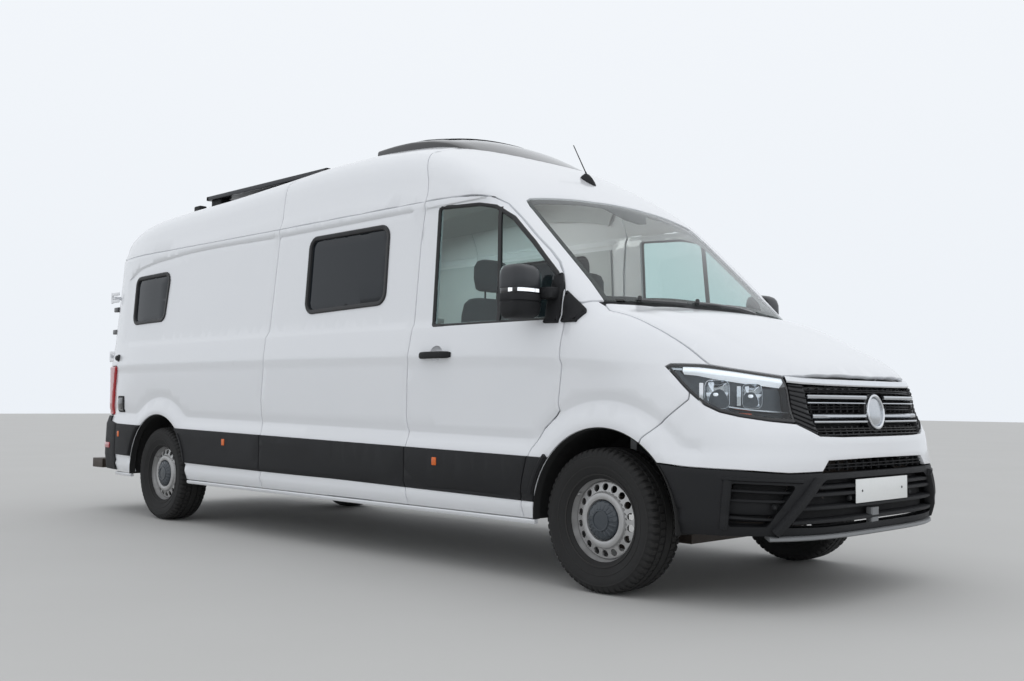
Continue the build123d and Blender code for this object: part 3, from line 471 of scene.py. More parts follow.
def inset(loop, by):
    """A closed loop moved inwards, or outwards for a negative distance."""
    run = np.roll(loop, -1, 0) - loop
    side = np.stack([-run[:, 1], run[:, 0]], 1) / np.linalg.norm(run, axis=1)[:, None]
    x, y = loop.T
    area = (x * np.roll(y, -1) - np.roll(x, -1) * y).sum()
    mitre = side + np.roll(side, 1, 0)
    mitre = mitre * np.minimum(2 / (mitre ** 2).sum(1), 1.6)[:, None]
    return loop + math.copysign(by, area) * mitre


def make(name, points, faces, material, rides, slot, replaces=(), sharp=40, ahead=True):
    """A mesh piece, given from the front axle, that rides on a body."""
    mesh = bpy.data.meshes.new(name)
    shift = np.array((AXLE_X, 0, 0)) if ahead else np.zeros(3)
    mesh.from_pydata([tuple(p) for p in np.array(points, float) + shift], [],
                     [tuple(map(int, f)) for f in faces])
    solid = bmesh.new()
    solid.from_mesh(mesh)
    bmesh.ops.remove_doubles(solid, verts=solid.verts, dist=2e-5)
    bmesh.ops.recalc_face_normals(solid, faces=solid.faces)
    solid.to_mesh(mesh)
    solid.free()
    mesh.polygons.foreach_set("use_smooth", [True] * len(mesh.polygons))
    mesh.set_sharp_from_angle(angle=math.radians(sharp))
    mesh.materials.append(material)
    piece = bpy.data.objects.new(name, mesh)
    bpy.context.collection.objects.link(piece)
    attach(piece, rides)
    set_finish(piece, slot)
    if replaces:
        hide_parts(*replaces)
    return piece


def other_side(piece, name, rides, replaces=()):
    """The same piece on the vehicle's left."""
    twin = bpy.data.objects.new(name, piece.data.copy())
    bpy.context.collection.objects.link(twin)
    for vertex in twin.data.vertices:
        vertex.co.y *= -1
    twin.data.flip_normals()
    twin.data.name = name
    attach(twin, rides)
    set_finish(twin, piece["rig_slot"])
    if replaces:
        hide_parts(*replaces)
    return twin


SHUT = .0028
ROLL = .004


def panel(name, lay, outline, material, rides, slot, thick=.04, holes=(), guides=(), step=.055, gap=SHUT,
          soft=ROLL, proud=0.0, replaces=(), hole_gap=0.0, sharp=40):
    """A panel cut from the skin by an outline on its paper, with rolled edges and a back."""
    loops = [walk(outline, closed=True)] + [walk(hole, .02, closed=True) for hole in holes]
    ways = [1] + [-1] * len(holes)
    gaps = [gap] + [hole_gap] * len(holes)
    edge = [inset(loop, way * (g + soft)) for loop, way, g in zip(loops, ways, gaps)]
    low, high = loops[0].min(0), loops[0].max(0)
    grid = np.stack(np.meshgrid(*[np.arange(a + step / 2, b, step) for a, b in zip(low, high)]),
                    -1).reshape(-1, 2)
    lines = [np.array(guide, float) for guide in guides]
    if lines:
        marks = np.concatenate(lines)
        cell = 400
        near = np.concatenate([np.sqrt(((grid[i:i + cell, None] - marks) ** 2).sum(2)).min(1)
                               for i in range(0, len(grid), cell)]) if len(grid) else np.zeros(0)
        grid = grid[near > step * .42]
    flat, joins = list(np.concatenate(edge)), []
    start = 0
    for loop in edge:
        joins += [(start + i, start + (i + 1) % len(loop)) for i in range(len(loop))]
        start += len(loop)

    def clear(points, margin):
        keep = contains(edge[0], points) & (clearance(edge[0], points) > margin)
        for hole in edge[1:]:
            keep &= ~contains(hole, points) & (clearance(hole, points) > margin)
        return keep

    if len(grid):
        flat += list(grid[clear(grid, step * .4)])
    for line in lines:
        keep = clear(line, .004)
        for i, kept in enumerate(keep):
            if kept:
                flat.append(line[i])
                if i and keep[i - 1]:
                    joins.append((len(flat) - 2, len(flat) - 1))
    found, _, faces, origin, _, _ = delaunay_2d_cdt([Vector(p) for p in flat], joins, [], 0, 1e-7)
    sheet = np.array([tuple(p) for p in found])
    middle = np.array([sheet[list(f)].mean(0) for f in faces])
    inside = contains(edge[0], middle)
    for hole in edge[1:]:
        inside &= ~contains(hole, middle)
    faces = [tuple(f) for f, kept in zip(faces, inside) if kept]
    where = {}
    for new, olds in enumerate(origin):
        for old in olds:
            where[old] = new
    front = lay(sheet)
    normal = outward(front)
    front = front + proud * normal
    points = [front, front - thick * normal]
    count = len(sheet)
    back = [tuple(i + count for i in reversed(f)) for f in faces]
    total, walls, start = 2 * count, [], 0
    for loop, way, g, inner in zip(loops, ways, gaps, edge):
        n = len(loop)
        first = [where[start + i] for i in range(n)]
        rings = [first]
        for out, deep in ((g + .3 * soft, .3 * soft), (g, soft), (g, thick)):
            at = lay(inset(loop, way * out))
            points.append(at + (proud - deep) * outward(at))
            rings.append(list(range(total, total + n)))
            total += n
        rings.append([i + count for i in first])
        for a, b in zip(rings, rings[1:]):
            walls += [(a[i], a[(i + 1) % n], b[(i + 1) % n], b[i]) for i in range(n)]
        start += n
    return make(name, np.concatenate(points), faces + back + walls, material, rides, slot, replaces, sharp)


def whole(half):
    """A closed outline made of the right half, listed from centre line to centre line, and its mirror."""
    half = np.array(half, float)
    across = 1 if abs(half[0][1]) < 1e-6 else 0
    twin = half[::-1].copy()
    twin[:, across] *= -1
    return np.concatenate([half, twin[1:-1]])


def arc(centre, radius, start, end, step=4):
    """Points on a circle between two angles in degrees."""
    n = max(2, int(abs(end - start) / step))
    turn = np.radians(np.linspace(start, end, n + 1))
    return np.stack([centre[0] + radius * np.cos(turn), centre[1] + radius * np.sin(turn)], 1)


def flare_line(value, start, end, step=.025):
    """Side-paper line along which the flare has reached a given step."""
    x = np.arange(start, end, math.copysign(step, end - start))
    low, high = np.full(len(x), .52), np.full(len(x), 1.3)
    for _ in range(22):
        z = (low + high) / 2
        under = flare_step(x, z) < value
        low, high = np.where(under, z, low), np.where(under, high, z)
    return np.stack([x, low], 1)[low > .6]


def level(rule, offset, start, end, step=.04):
    x = np.arange(start, end, math.copysign(step, end - start))
    return np.stack([x, rule(x) + offset], 1)


FLARE_STEPS = (.06, .66, .76, 1.0)


# ---- body panels ---------------------------------------------------------------------------------
# White-painted pressed steel, spot welded where panels are fixed and hung on hinges where they open.
# Every edge is folded over, with shut lines of five or six millimetres between neighbours.
white_paint = finish("white_paint", (.80, .81, .83), .30, (.775, .79, .815), patch=1.5, grain=.03,
                     grain_size=900, coat=.7, **{"Coat Roughness": .08})

DOOR_TOP = ((-1.369, -.943, 2.105), (-1.132, -.943, 2.101), (-.895, -.935, 2.08), (-.797, -.925, 2.061),
            (-.712, -.897, 2.019), (-.603, -.894, 1.927), (-.489, -.898, 1.822), (-.39, -.892, 1.733),
            (-.321, -.898, 1.666), (-.278, -.922, 1.611), (-.250, -.947, 1.555), (-.222, -.965, 1.47))
DOOR_FRONT_EDGE = ((-.211, 1.44), (-.209, 1.326), (-.221, 1.234), (-.223, 1.151), (-.214, 1.125),
                   (-.235, .992),
                   (-.246, .935), (-.243, .891), (-.270, .862), (-.350, .800), (-.433, .691), (-.477, .529),
                   (-.491, .426), (-.488, .333))
DOOR_REAR_EDGE = ((-1.432, .333), (-1.444, .448), (-1.441, .728), (-1.461, .837), (-1.449, 1.058),
                  (-1.429, 1.229), (-1.416, 1.378), (-1.398, 1.862), (-1.369, 2.105))
SEAM_2 = ((-2.912, 2.10), (-2.914, 2.059), (-2.966, 1.401), (-2.988, 1.359), (-2.985, 1.213), (-3.03, .927),
          (-3.02, .769), (-2.999, .713), (-3.0, .456), (-3.0, .333))

# windscreen edge from the bottom corner to the top middle, then from the bottom middle
SCREEN_EDGE = ((-.072, -.833, 1.449), (-.182, -.817, 1.56), (-.376, -.806, 1.745), (-.539, -.796, 1.90),
               (-.660, -.787, 2.015), (-.700, -.772, 2.052), (-.712, -.735, 2.072), (-.695, -.566, 2.089),
               (-.667, -.235, 2.108), (-.663, 0, 2.113))
SCREEN_FOOT = ((.057, 0, 1.457), (.052, -.108, 1.457), (.001, -.541, 1.457), (-.050, -.76, 1.452))

pillar_line = [(x, y, z) for x, y, z in DOOR_TOP] + [(-.213, -.975, 1.442), (-.135, -.935, 1.438),
                                                     (-.088, -.867, 1.447)]
front_roof_half = np.concatenate([
    paper_over(((-1.522, 0, 2.52), (-1.52, -.30, 2.50), (-1.512, -.60, 2.47), (-1.496, -.774, 2.43),
                (-1.44, -.855, 2.34), (-1.388, -.903, 2.238), (-1.372, -.925, 2.17)), top_knee),
    paper_over(pillar_line, top_knee), paper_over(SCREEN_EDGE, top_knee)])
panel("front_roof", on_top, whole(front_roof_half), white_paint, "chassis", "white_paint", thick=.035,
      replaces=("roof_front", "windscreen_pillars"), step=.05)


def roof_seam(x_low, x_top, z_low=2.10):
    """Right half of a seam over the roof, from the crown down to the gutter."""
    rows = ((x_top, 0, 2.57), (x_top, -.4, 2.55), (x_top + .01, -.7, 2.48),
            ((x_top * 2 + x_low) / 3, -.82, 2.40),
            ((x_top + x_low * 2) / 3, -.88, 2.28), (x_low, -.925, 2.17), (x_low, -.943, z_low))
    return paper_over(rows, top_knee)


# The rear doors close on this edge of the body: half width and height, up from the foot.
REAR_EDGE = ((.884, .35), (.884, .61), (.884, 1.186), (.862, 1.40), (.826, 2.06), (.810, GUTTER_Z),
             (.80, 2.15), (.768, 2.23), (.70, 2.29), (.36, 2.372), (0, 2.388))


def on_back(p):
    """Paper place y, z: straight back."""
    y, z = p.T
    return meet(np.stack([np.full_like(y, -5.0), y, z], 1), np.tile((-1., 0, 0), (len(y), 1)))


def paper_tail(points):
    x, y, z = np.array(points, float).T
    turn = np.arctan2(np.maximum(TAIL_PIVOT[0] - x, 0), np.abs(y) - TAIL_PIVOT[1])
    return np.stack([np.where(x > TAIL_PIVOT[0], -x, TAIL_R * turn - TAIL_PIVOT[0]), z], 1)


rear_edge = on_back(np.array(REAR_EDGE) * (-1, 1))
gutter = [(x, -.94, GUTTER_Z) for x in (-1.6, -2.0, -2.4, -2.8)]
rear_gutter = [(x, -.94, GUTTER_Z) for x in (-3.2, -3.6, -4.0, -4.4, -4.8, -5.1, -5.3)]
front_seam = paper_over(((-1.522, 0, 2.52), (-1.52, -.30, 2.50), (-1.512, -.60, 2.47), (-1.496, -.774, 2.43),
                         (-1.44, -.855, 2.34), (-1.388, -.903, 2.238), (-1.372, -.925, 2.17),
                         (-1.37, -.943, GUTTER_Z)), top_knee)
mid_seam = roof_seam(-2.912, -2.985)
panel("middle_roof", on_top,
      whole(np.concatenate([front_seam, paper_over(gutter, top_knee), mid_seam[::-1]])), white_paint,
      "chassis", "white_paint", thick=.035, replaces=("roof_rear",), step=.07)
rear_end = paper_over(rear_edge[5:], top_knee)
panel("rear_roof", on_top, whole(np.concatenate([mid_seam, paper_over(rear_gutter, top_knee), rear_end])),
      white_paint, "chassis", "white_paint", thick=.035, replaces=("roof_rear", "rear_frame"), step=.07)

MID_WINDOW = rounded(((-2.548, 1.498), (-2.537, 2.001), (-1.699, 2.003), (-1.703, 1.518)), .075)
REAR_WINDOW = rounded(((-5.030, 1.535), (-5.023, 1.916), (-4.435, 1.926), (-4.485, 1.544)), .07)


def side_creases(start, end):
    """Lines of the side's pressings: flare, waist, ledge, recess top and drip groove."""
    lines = [flare_line(value, start, end) for value in FLARE_STEPS]
    lines += [level(waist_z, offset, start, end) for offset in (-.034, -.006, .012)]
    lines += [level(ledge_z, offset, start, end) for offset in (-.016, .002, .02)]
    lines += [level(recess_top_z, offset, start, end) for offset in (-.012, -.002, .005, .013)]
    lines += [level(lambda x: 0 * x, z, start, end) for z in (.405, .43)]
    return lines


panel("side_mid_right", on_side, np.concatenate([DOOR_REAR_EDGE, SEAM_2]), white_paint, "chassis",
      "white_paint", thick=.045, holes=[MID_WINDOW], guides=side_creases(-1.5, -3.0),
      replaces=("side_right_mid",))
other_side(bpy.data.objects["side_mid_right"], "sliding_door_skin", "chassis", ("sliding_door",))

# The rear panel turns the corner and ends where the rear doors close against it.
arch_x, arch_z = ARCHES[1]
FOOT_Z = .333
foot_turn = math.degrees(math.asin((FOOT_Z - arch_z) / ARCH_R))
rear_arch = arc((-arch_x, arch_z), ARCH_R, 180 - foot_turn, foot_turn)
TAIL_LAMP = ((5.454, .795), (5.408, 1.0), (5.330, 1.190), (5.340, 1.203))
rear_shut = paper_tail(rear_edge[:6])
rear_shut = np.concatenate([rear_shut[:2], [(rear_shut[1][0], .795)], TAIL_LAMP, [(rear_shut[2][0], 1.203)],
                            rear_shut[3:]])
rear_outline = np.concatenate([[(-x, z) for x, z in SEAM_2], rear_arch, rear_shut])
panel("side_rear_right", on_tail, rear_outline, white_paint, "chassis", "white_paint", thick=.045,
      holes=[REAR_WINDOW * (-1, 1)], guides=[line * (-1, 1) for line in side_creases(-3.0, -5.3)],
      replaces=("side_right_rear", "rear_frame"))
other_side(bpy.data.objects["side_rear_right"], "side_rear_left", "chassis", ("side_left_rear",))


# Bonnet: one pressing with two soft ridges, hinged at its back edge.
def on_bonnet(p):
    """Paper place x, y: straight up."""
    x, y = p.T
    return meet(np.stack([x, y, np.full_like(x, .90)], 1), np.tile((0., 0, 1), (len(x), 1)))


# Seams shared by two panels are laid on the skin once, so that both panels keep the same gap.
LAMP_TOP = ((.388, -.930, 1.108), (.406, -.919, 1.119), (.455, -.893, 1.119), (.522, -.850, 1.117),
            (.563, -.821, 1.113), (.669, -.741, 1.092), (.806, -.600, 1.064))
LAMP_INNER = ((.828, -.606, 1.01), (.855, -.615, .952), (.890, -.618, .850))
LAMP_FOOT = ((.824, -.734, .858), (.727, -.828, .877), (.651, -.875, .897), (.587, -.902, .928),
             (.517, -.921, .986), (.441, -.928, 1.06))
LAMP_SPLIT = 4           # point of the lamp's top where wing and bonnet part
bonnet_side = on_bonnet(walk([(-.05, -.85), (.10, -.85), (.25, -.855), (.36, -.848), (.45, -.838),
                              (.52, -.828), (.563, -.821)]))
wing_lamp = on_nose(walk(paper_nose(LAMP_TOP[:LAMP_SPLIT + 1])))
lamp_back = on_nose(walk(paper_nose(LAMP_FOOT[-2:] + LAMP_TOP[:1])))
wing_bumper = on_nose(walk(paper_nose(((.298, -1.007, .768), (.408, -.967, .859), (.516, -.928, .953),
                                       (.517, -.921, .986)))))

wing_arch = arc(ARCHES[0], ARCH_R, 58.5, 183)
wing_outline = np.concatenate([
    paper_over(((-.213, -.975, 1.442), (-.135, -.935, 1.438), (-.088, -.867, 1.447)), wing_knee),
    paper_over(bonnet_side, wing_knee), paper_over(wing_lamp[::-1][1:], wing_knee),
    paper_over(lamp_back[::-1][1:], wing_knee), paper_over(wing_bumper[::-1][1:], wing_knee),
    [(x, KNEE_END + WING_KNEE_Z - z) for x, z in wing_arch],
    [(x, KNEE_END + WING_KNEE_Z - z) for x, z in DOOR_FRONT_EDGE[::-1] if z < 1.1],
    paper_over([(x, -1.0, z) for x, z in DOOR_FRONT_EDGE[::-1] if z > 1.1], wing_knee)])
wing_lines = [np.stack([line[:, 0], KNEE_END + WING_KNEE_Z - line[:, 1]], 1)
              for line in [flare_line(value, -.5, .55, .02) for value in FLARE_STEPS]]
wing_lines += [paper_over([(x, -1.0, waist_z(x) + offset) for x in np.arange(-.25, .4, .04)], wing_knee)
               for offset in (-.034, -.006, .012)]
panel("wing_right", on_wing, wing_outline, white_paint, "chassis", "white_paint", thick=.03,
      guides=wing_lines, replaces=("front_wings",), step=.045)
other_side(bpy.data.objects["wing_right"], "wing_left", "chassis", ("front_wings",))

bonnet_lamp = on_nose(walk(paper_nose(LAMP_TOP[LAMP_SPLIT:])))
bonnet_outline = np.concatenate([[(.075, 0), (.062, .25), (.020, .55), (-.035, .76), (-.062, .842)],
                                 bonnet_side[:, :2] * (1, -1), bonnet_lamp[1:, :2] * (1, -1),
                                 [(.862, .50), (.905, .35), (.932, .17), (.940, 0)]])
ridges = [[(x, side * (float(through(x, (-.1, .66), (.45, .60), (.92, .50))) + offset))
           for x in np.arange(.0, .93, .04)] for offset in (-.03, .01, .05) for side in (-1, 1)]
panel("bonnet_skin", on_bonnet, whole(bonnet_outline), white_paint, "bonnet", "white_paint", thick=.022,
      guides=ridges, replaces=("bonnet",), step=.05)

# Cab door: the lower panel and the window frame are one pressing.
DOOR_WINDOW = rounded(((-1.251, 1.362), (-1.252, 2.059), (-.907, 2.040), (-.775, 2.012), (-.641, 1.937),
                       (-.476, 1.788), (-.290, 1.600), (-.290, 1.362)), .028)
cup_turn = np.linspace(0, 2 * math.pi, 28, endpoint=False)
HANDLE_CUP = np.stack([-1.178 + .058 * np.cos(cup_turn), 1.203 + .049 * np.sin(cup_turn)], 1)
door_outline = np.concatenate([[(x, z) for x, y, z in DOOR_TOP], DOOR_FRONT_EDGE, DOOR_REAR_EDGE[:-1]])
panel("door_skin_right", on_side, door_outline, white_paint, "door_right", "white_paint", thick=.035,
      holes=[DOOR_WINDOW, HANDLE_CUP], guides=side_creases(-.22, -1.46), replaces=("door_right",), step=.05)
other_side(bpy.data.objects["door_skin_right"], "door_skin_left", "door_left", ("door_left",))


# ---- front bumper --------------------------------------------------------------------------------
# Two injection mouldings clipped together: the upper painted with the body, the lower left grained
# black, with fog lamp recesses, a slatted intake and a grey lip. Both hang on the chassis ends.
def strip(lay, line, profile, closed=False):
    """A bar run along a line on the paper; profile rows are across the line and out of the skin."""
    line = np.array(line, float)
    ahead = np.roll(line, -1, 0) - line if closed else np.gradient(line, axis=0)
    if closed:
        ahead = ahead + np.roll(ahead, 1, 0)
    left = np.stack([-ahead[:, 1], ahead[:, 0]], 1) / np.linalg.norm(ahead, axis=1)[:, None]
    rings = []
    for across, out in profile:
        at = lay(line + across * left)
        rings.append(at + out * outward(at))
    points = np.stack(rings, 1).reshape(-1, 3)
    n, m = len(line), len(profile)
    steps = range(n if closed else n - 1)
    faces = [(i * m + j, i * m + (j + 1) % m, (i + 1) % n * m + (j + 1) % m, (i + 1) % n * m + j)
             for i in steps for j in range(m)]
    if not closed:
        faces += [tuple(range(m)), tuple(range(n * m - 1, n * m - m - 1, -1))]
    return points, faces


def merged(parts):
    points, faces, start = [], [], 0
    for part_points, part_faces in parts:
        points.append(np.array(part_points, float))
        faces += [tuple(i + start for i in f) for f in part_faces]
        start += len(part_points)
    return np.concatenate(points), faces


def flipped(part):
    """The mirror of a shape across the centre line."""
    points, faces = part
    return np.array(points) * (1, -1, 1), [tuple(reversed(f)) for f in faces]


def mirrored(*parts):
    """Shapes of the right side and their mirrors, as one."""
    return merged(list(parts) + [flipped(part) for part in parts])


def blade(width, depth, lean=0.0, round_off=.003):
    """Section of a thin bar: across the line and out of the skin, with eased edges."""
    w, r = width / 2, round_off
    return [(-w, -depth), (-w - lean, -r), (-w - lean + r, 0), (w - lean - r, 0), (w - lean, -r), (w, -depth)]


def line_between(start, end, step=.04):
    return walk([start, end], step)


def nose_line(*points):
    return walk(list(paper_nose(points)), .035)


black_grain = finish("black_grain", (.010, .0105, .012), .62, (.015, .0155, .017), patch=6, grain=.55,
                     grain_size=700, **{"Specular IOR Level": .3})
deep_black = finish("deep_black", (.006, .006, .007), .8, (.01, .01, .011), patch=20, grain=.3)
grey_lip = finish("grey_lip", (.20, .205, .21), .45, (.17, .175, .18), grain=.3, grain_size=500)

BLACK_EDGE = ((.986, 0, .676), (.986, -.065, .676), (.984, -.27, .675), (.970, -.462, .673),
              (.967, -.512, .625),
              (.91, -.707, .622), (.764, -.885, .637), (.557, -.977, .644), (.40, -1.003, .655))
bumper_arch = [(x, -1.005, z) for x, z in arc(ARCHES[0], ARCH_R, 41.1, 58)]
painted_half = paper_nose(BLACK_EDGE + tuple(bumper_arch) + (
    (.298, -1.007, .768), (.408, -.967, .859), (.516, -.928, .953)) + LAMP_FOOT[4:5] + LAMP_FOOT[3::-1]
    + ((.890, -.618, .846), (.950, -.507, .790), (.965, -.35, .785), (.985, 0, .784)))
nose_flare = []
for value in FLARE_STEPS:
    line = flare_line(value, .30, .62, .02)
    nose_flare += [paper_nose([(x, -1.0, z) for x, z in line]) * (side, 1) for side in (-1, 1)]
nose_flare += [walk([(-1.4, z), (1.4, z)], .05) for z in (.700, .79)]
panel("bumper_upper", on_nose, whole(painted_half), white_paint, "chassis", "white_paint", thick=.02,
      guides=nose_flare, replaces=("bumper_painted",), step=.05)

FOG_RECESS = ((.728, -.905, .586), (.80, -.853, .583), (.87, -.78, .580), (.932, -.658, .573),
              (.905, -.715, .485),
              (.862, -.775, .395), (.848, -.79, .377), (.78, -.857, .376), (.709, -.908, .376),
              (.716, -.907, .48))
INTAKE = ((.990, 0, .598), (.985, -.25, .598), (.970, -.49, .596), (.962, -.532, .575), (.93, -.64, .47),
          (.89, -.725, .372), (.96, -.52, .366), (.98, -.37, .366), (.99, 0, .366))
lower_half = np.concatenate([
    paper_nose(((.985, 0, .338), (.98, -.3, .338), (.94, -.56, .338), (.85, -.77, .338), (.70, -.905, .336),
                (.503, -.965, .335))),
    paper_nose([(x, -1.0, z) for x, z in arc(ARCHES[0], ARCH_R, -1, 40.5)]),
    paper_nose(BLACK_EDGE[::-1][:5]), [(.515, .622), (.47, .622), (0, .622)]])
fog_paper = rounded(paper_nose(FOG_RECESS)[[0, 3, 6, 8]], .018)
intake_paper = whole(paper_nose(INTAKE))
panel("bumper_lower_skin", on_nose, whole(lower_half), black_grain, "chassis", "black_plastic", thick=.056,
      holes=[fog_paper, fog_paper * (-1, 1), intake_paper], replaces=("bumper_lower",), step=.05, soft=.007)


def recess(name, outline, depth, material, reach=.012):
    """A dark back wall behind an opening in the nose."""
    return panel(name, on_nose, inset(np.array(outline), -reach), material, "chassis", "black_plastic",
                 thick=.008, proud=-depth, gap=0, soft=.002, step=.09)


recess("intake_back", intake_paper, .052, deep_black)
recess("fog_back_right", fog_paper, .052, deep_black)
recess("fog_back_left", fog_paper * (-1, 1), .052, deep_black)

slats = []
for z, reach_s in ((.560, .535), (.527, .575), (.466, .632), (.405, .690)):
    slats.append(strip(on_nose, line_between((-reach_s, z), (reach_s, z)), blade(.016, .045, .006)))
FOG_SLATS = (((.718, -.906, .541), (.936, -.655, .527)), ((.712, -.908, .497), (.915, -.696, .488)),
             ((.706, -.909, .424), (.872, -.765, .411)))
for start, end in FOG_SLATS:
    bar = strip(on_nose, nose_line(start, end), [(a, b - .018) for a, b in blade(.013, .03, .004)])
    slats += [bar, flipped(bar)]
fog_plate = strip(on_nose, nose_line((.714, -.907, .468), (.897, -.725, .458)),
                  [(a, b - .032) for a, b in blade(.058, .02, .004)])
slats += [fog_plate, flipped(fog_plate)]
make("bumper_slats", *merged(slats), black_grain, "chassis", "black_plastic", ("bumper_lower",))

frames = []
frame_left = strip(on_nose, nose_line((.700, -.921, .374), (.705, -.917, .48), (.716, -.913, .592)),
                   [(-.020, -.004), (-.014, .008), (.010, .013), (.021, .005), (.022, -.03), (-.020, -.03)])
frame_top = strip(on_nose,
                  nose_line((.700, -.926, .600), (.80, -.862, .597), (.87, -.79, .594), (.943, -.64, .586)),
                  [(-.008, -.02), (-.010, -.002), (-.003, .008), (.006, .008), (.013, -.002), (.012, -.02)])
diagonal = strip(on_nose, nose_line((.962, -.550, .585), (.932, -.645, .487), (.868, -.760, .352)),
                 [(-.026, -.03), (-.024, .004), (-.014, .020), (.012, .024), (.024, .010), (.026, -.03)])
for part in (frame_left, frame_top, diagonal):
    frames += [part, flipped(part)]
make("bumper_frames", *merged(frames), black_grain, "chassis", "black_plastic", ("bumper_lower",))

lip_line = [(s, .330) for s in np.linspace(-.80, .80, 33)]
make("bumper_lip",
     *strip(on_nose, lip_line, [(-.010, -.06), (-.012, .006), (-.006, .014), (.006, .010), (.012, -.02),
                                               (.010, -.06)]), grey_lip, "chassis", "black_plastic")
post_line = [(.062, z) for z in (.352, .38, .41, .441)]
make("bumper_post", *strip(on_nose, post_line, blade(.070, .03, 0, .006)), grey_lip, "chassis",
     "black_plastic")

slot_paper = whole([(0, .628), (.505, .628), (.463, .671), (0, .673)])
recess("upper_slot", slot_paper, .03, deep_black)
verticals = [strip(on_nose, line_between((s, .628), (s, .672)), [(a, b - .012) for a, b in blade(.006, .018)])
             for s in np.arange(-.45, .451, .075)]
slot_bars = [strip(on_nose, line_between((-.48, z), (.48, z)), [(a, b - .010) for a, b in blade(.005, .018)])
             for z in (.642, .657)]
make("upper_slot_bars", *merged(verticals + slot_bars), black_grain, "chassis", "black_plastic")


def turned(profile, centre, axis="X", steps=48):
    """A shape turned round an axis; profile rows are radius and place along it."""
    profile = np.array(profile, float)
    turn = np.linspace(0, 2 * math.pi, steps, endpoint=False)
    order = {"X": (2, 0, 1), "Y": (1, 2, 0), "Z": (0, 1, 2)}[axis]
    rings = np.stack([np.outer(np.cos(turn), profile[:, 0]), np.outer(np.sin(turn), profile[:, 0]),
                      np.tile(profile[:, 1], (steps, 1))], -1)[..., list(order)]
    m = len(profile)
    faces = [(i * m + j, i * m + j + 1, (i + 1) % steps * m + j + 1, (i + 1) % steps * m + j)
             for i in range(steps) for j in range(m - 1)]
    return rings.reshape(-1, 3) + np.array(centre), faces


def headed(points, heading, centre):
    """Points turned about the upright axis and set down at a place."""
    c, s = math.cos(heading), math.sin(heading)
    return np.array(points) @ np.array(((c, s, 0), (-s, c, 0), (0, 0, 1))) + np.array(centre)


sensor_button = [(0, .004), (.008, .004), (.0095, .001), (.0105, .001), (.0115, .003), (.0135, 0),
                 (.0135, -.01)]
sensors = []
for y, z in ((-.780, .471), (-.30, .497)):
    at = on_nose(paper_nose([(.9, y, z)]))[0]
    button = turned(sensor_button, (0, 0, 0), "X", 24)
    tilt = math.atan2(outward(at[None])[0][1], outward(at[None])[0][0])
    sunk = .012 * outward(at[None])[0] * (1 if y < -.5 else .3)
    placed = (headed(button[0], tilt, at - sunk), button[1])
    sensors += [placed, flipped(placed)]
make("parking_sensors", *merged(sensors), black_grain, "chassis", "black_plastic")


# ---- number plate --------------------------------------------------------------------------------
# A blank white reflective acrylic plate on two dark screws, riveted to the bumper's middle slat.
plate_white = finish("plate_white", (.80, .81, .80), .35, (.74, .75, .74), patch=40, grain=.12,
                     grain_size=1500)
PLATE_HALF = (.260, .056)
PLATE_Z = .526


def slab(x0, x1, y0, y1, z0, z1, soft=.003, segments=2):
    """A block with eased edges."""
    solid = bmesh.new()
    bmesh.ops.create_cube(solid, size=1)
    centre, size = ((x0 + x1) / 2, (y0 + y1) / 2, (z0 + z1) / 2), (x1 - x0, y1 - y0, z1 - z0)
    for vertex in solid.verts:
        vertex.co = [c + v * s for c, v, s in zip(centre, vertex.co, size)]
    if soft:
        bmesh.ops.bevel(solid, geom=solid.edges, offset=soft, segments=segments, affect="EDGES", profile=.5)
    part = ([tuple(v.co) for v in solid.verts], [tuple(v.index for v in f.verts) for f in solid.faces])
    solid.free()
    return part


make("number_plate", *slab(.990, .9935, -PLATE_HALF[0], PLATE_HALF[0], PLATE_Z - PLATE_HALF[1],
                           PLATE_Z + PLATE_HALF[1], .0015), plate_white, "chassis", "plate_white",
     ("number_plate",))
make("plate_base", *merged([slab(.960, .9905, -.245, .245, PLATE_Z - .05, PLATE_Z + .05, .004)]
                           + [turned([(0, .0022), (.004, .0022), (.006, .001), (.006, 0)],
                                     (.9935, y, PLATE_Z), "X", 16)
                              for y in (-.2, .2)]), black_grain, "chassis", "black_plastic")


# ---- grille --------------------------------------------------------------------------------------
# A black moulded lattice behind two pairs of bright bars, closed by a bright strip under the bonnet
# edge. Finned black wedges fill the slant to the lamps, and a plain disc sits where a badge would.
chrome = finish("chrome", (.80, .82, .84), .10, (.70, .72, .75), patch=25, metal=1.0, grain=.02)
satin_chrome = finish("satin_chrome", (.62, .64, .66), .22, (.52, .54, .57), patch=25, metal=1.0, grain=.05)
grille_black = finish("grille_black", (.012, .012, .013), .35, (.018, .018, .02), patch=15, grain=.15)

grille_half = paper_nose(((.985, 0, .786), (.965, -.35, .788), (.950, -.500, .792), (.870, -.527, 1.020),
                          (.945, -.23, 1.018), (.955, 0, 1.018)))
recess("grille_back", whole(grille_half), .05, deep_black)
GRILLE_TOP, GRILLE_FOOT = 1.020, .790


def grille_end(z):
    """How far out the grille's bars reach at a height."""
    return float(np.interp(z, (GRILLE_FOOT, GRILLE_TOP),
                           paper_nose(((.950, -.502, .79), (.870, -.529, 1.02)))[:, 0]))


lattice = []
for z in (1.003, .993, .925, .913, .826, .814, .797):
    reach_s = grille_end(z)
    lattice.append(strip(on_nose, line_between((-reach_s, z), (reach_s, z)),
                         [(a, b - .010) for a, b in blade(.006, .03)]))
for s in np.arange(-.55, .551, .055):
    for z0, z1 in ((.985, 1.015), (.900, .938), (.792, .838)):
        if abs(s) < grille_end(z0) - .01:
            lattice.append(strip(on_nose, line_between((s, z0), (s, z1), .02),
                                 [(a, b - .016) for a, b in blade(.005, .025)]))
make("grille_lattice", *merged(lattice), grille_black, "chassis", "black_plastic", ("grille",))

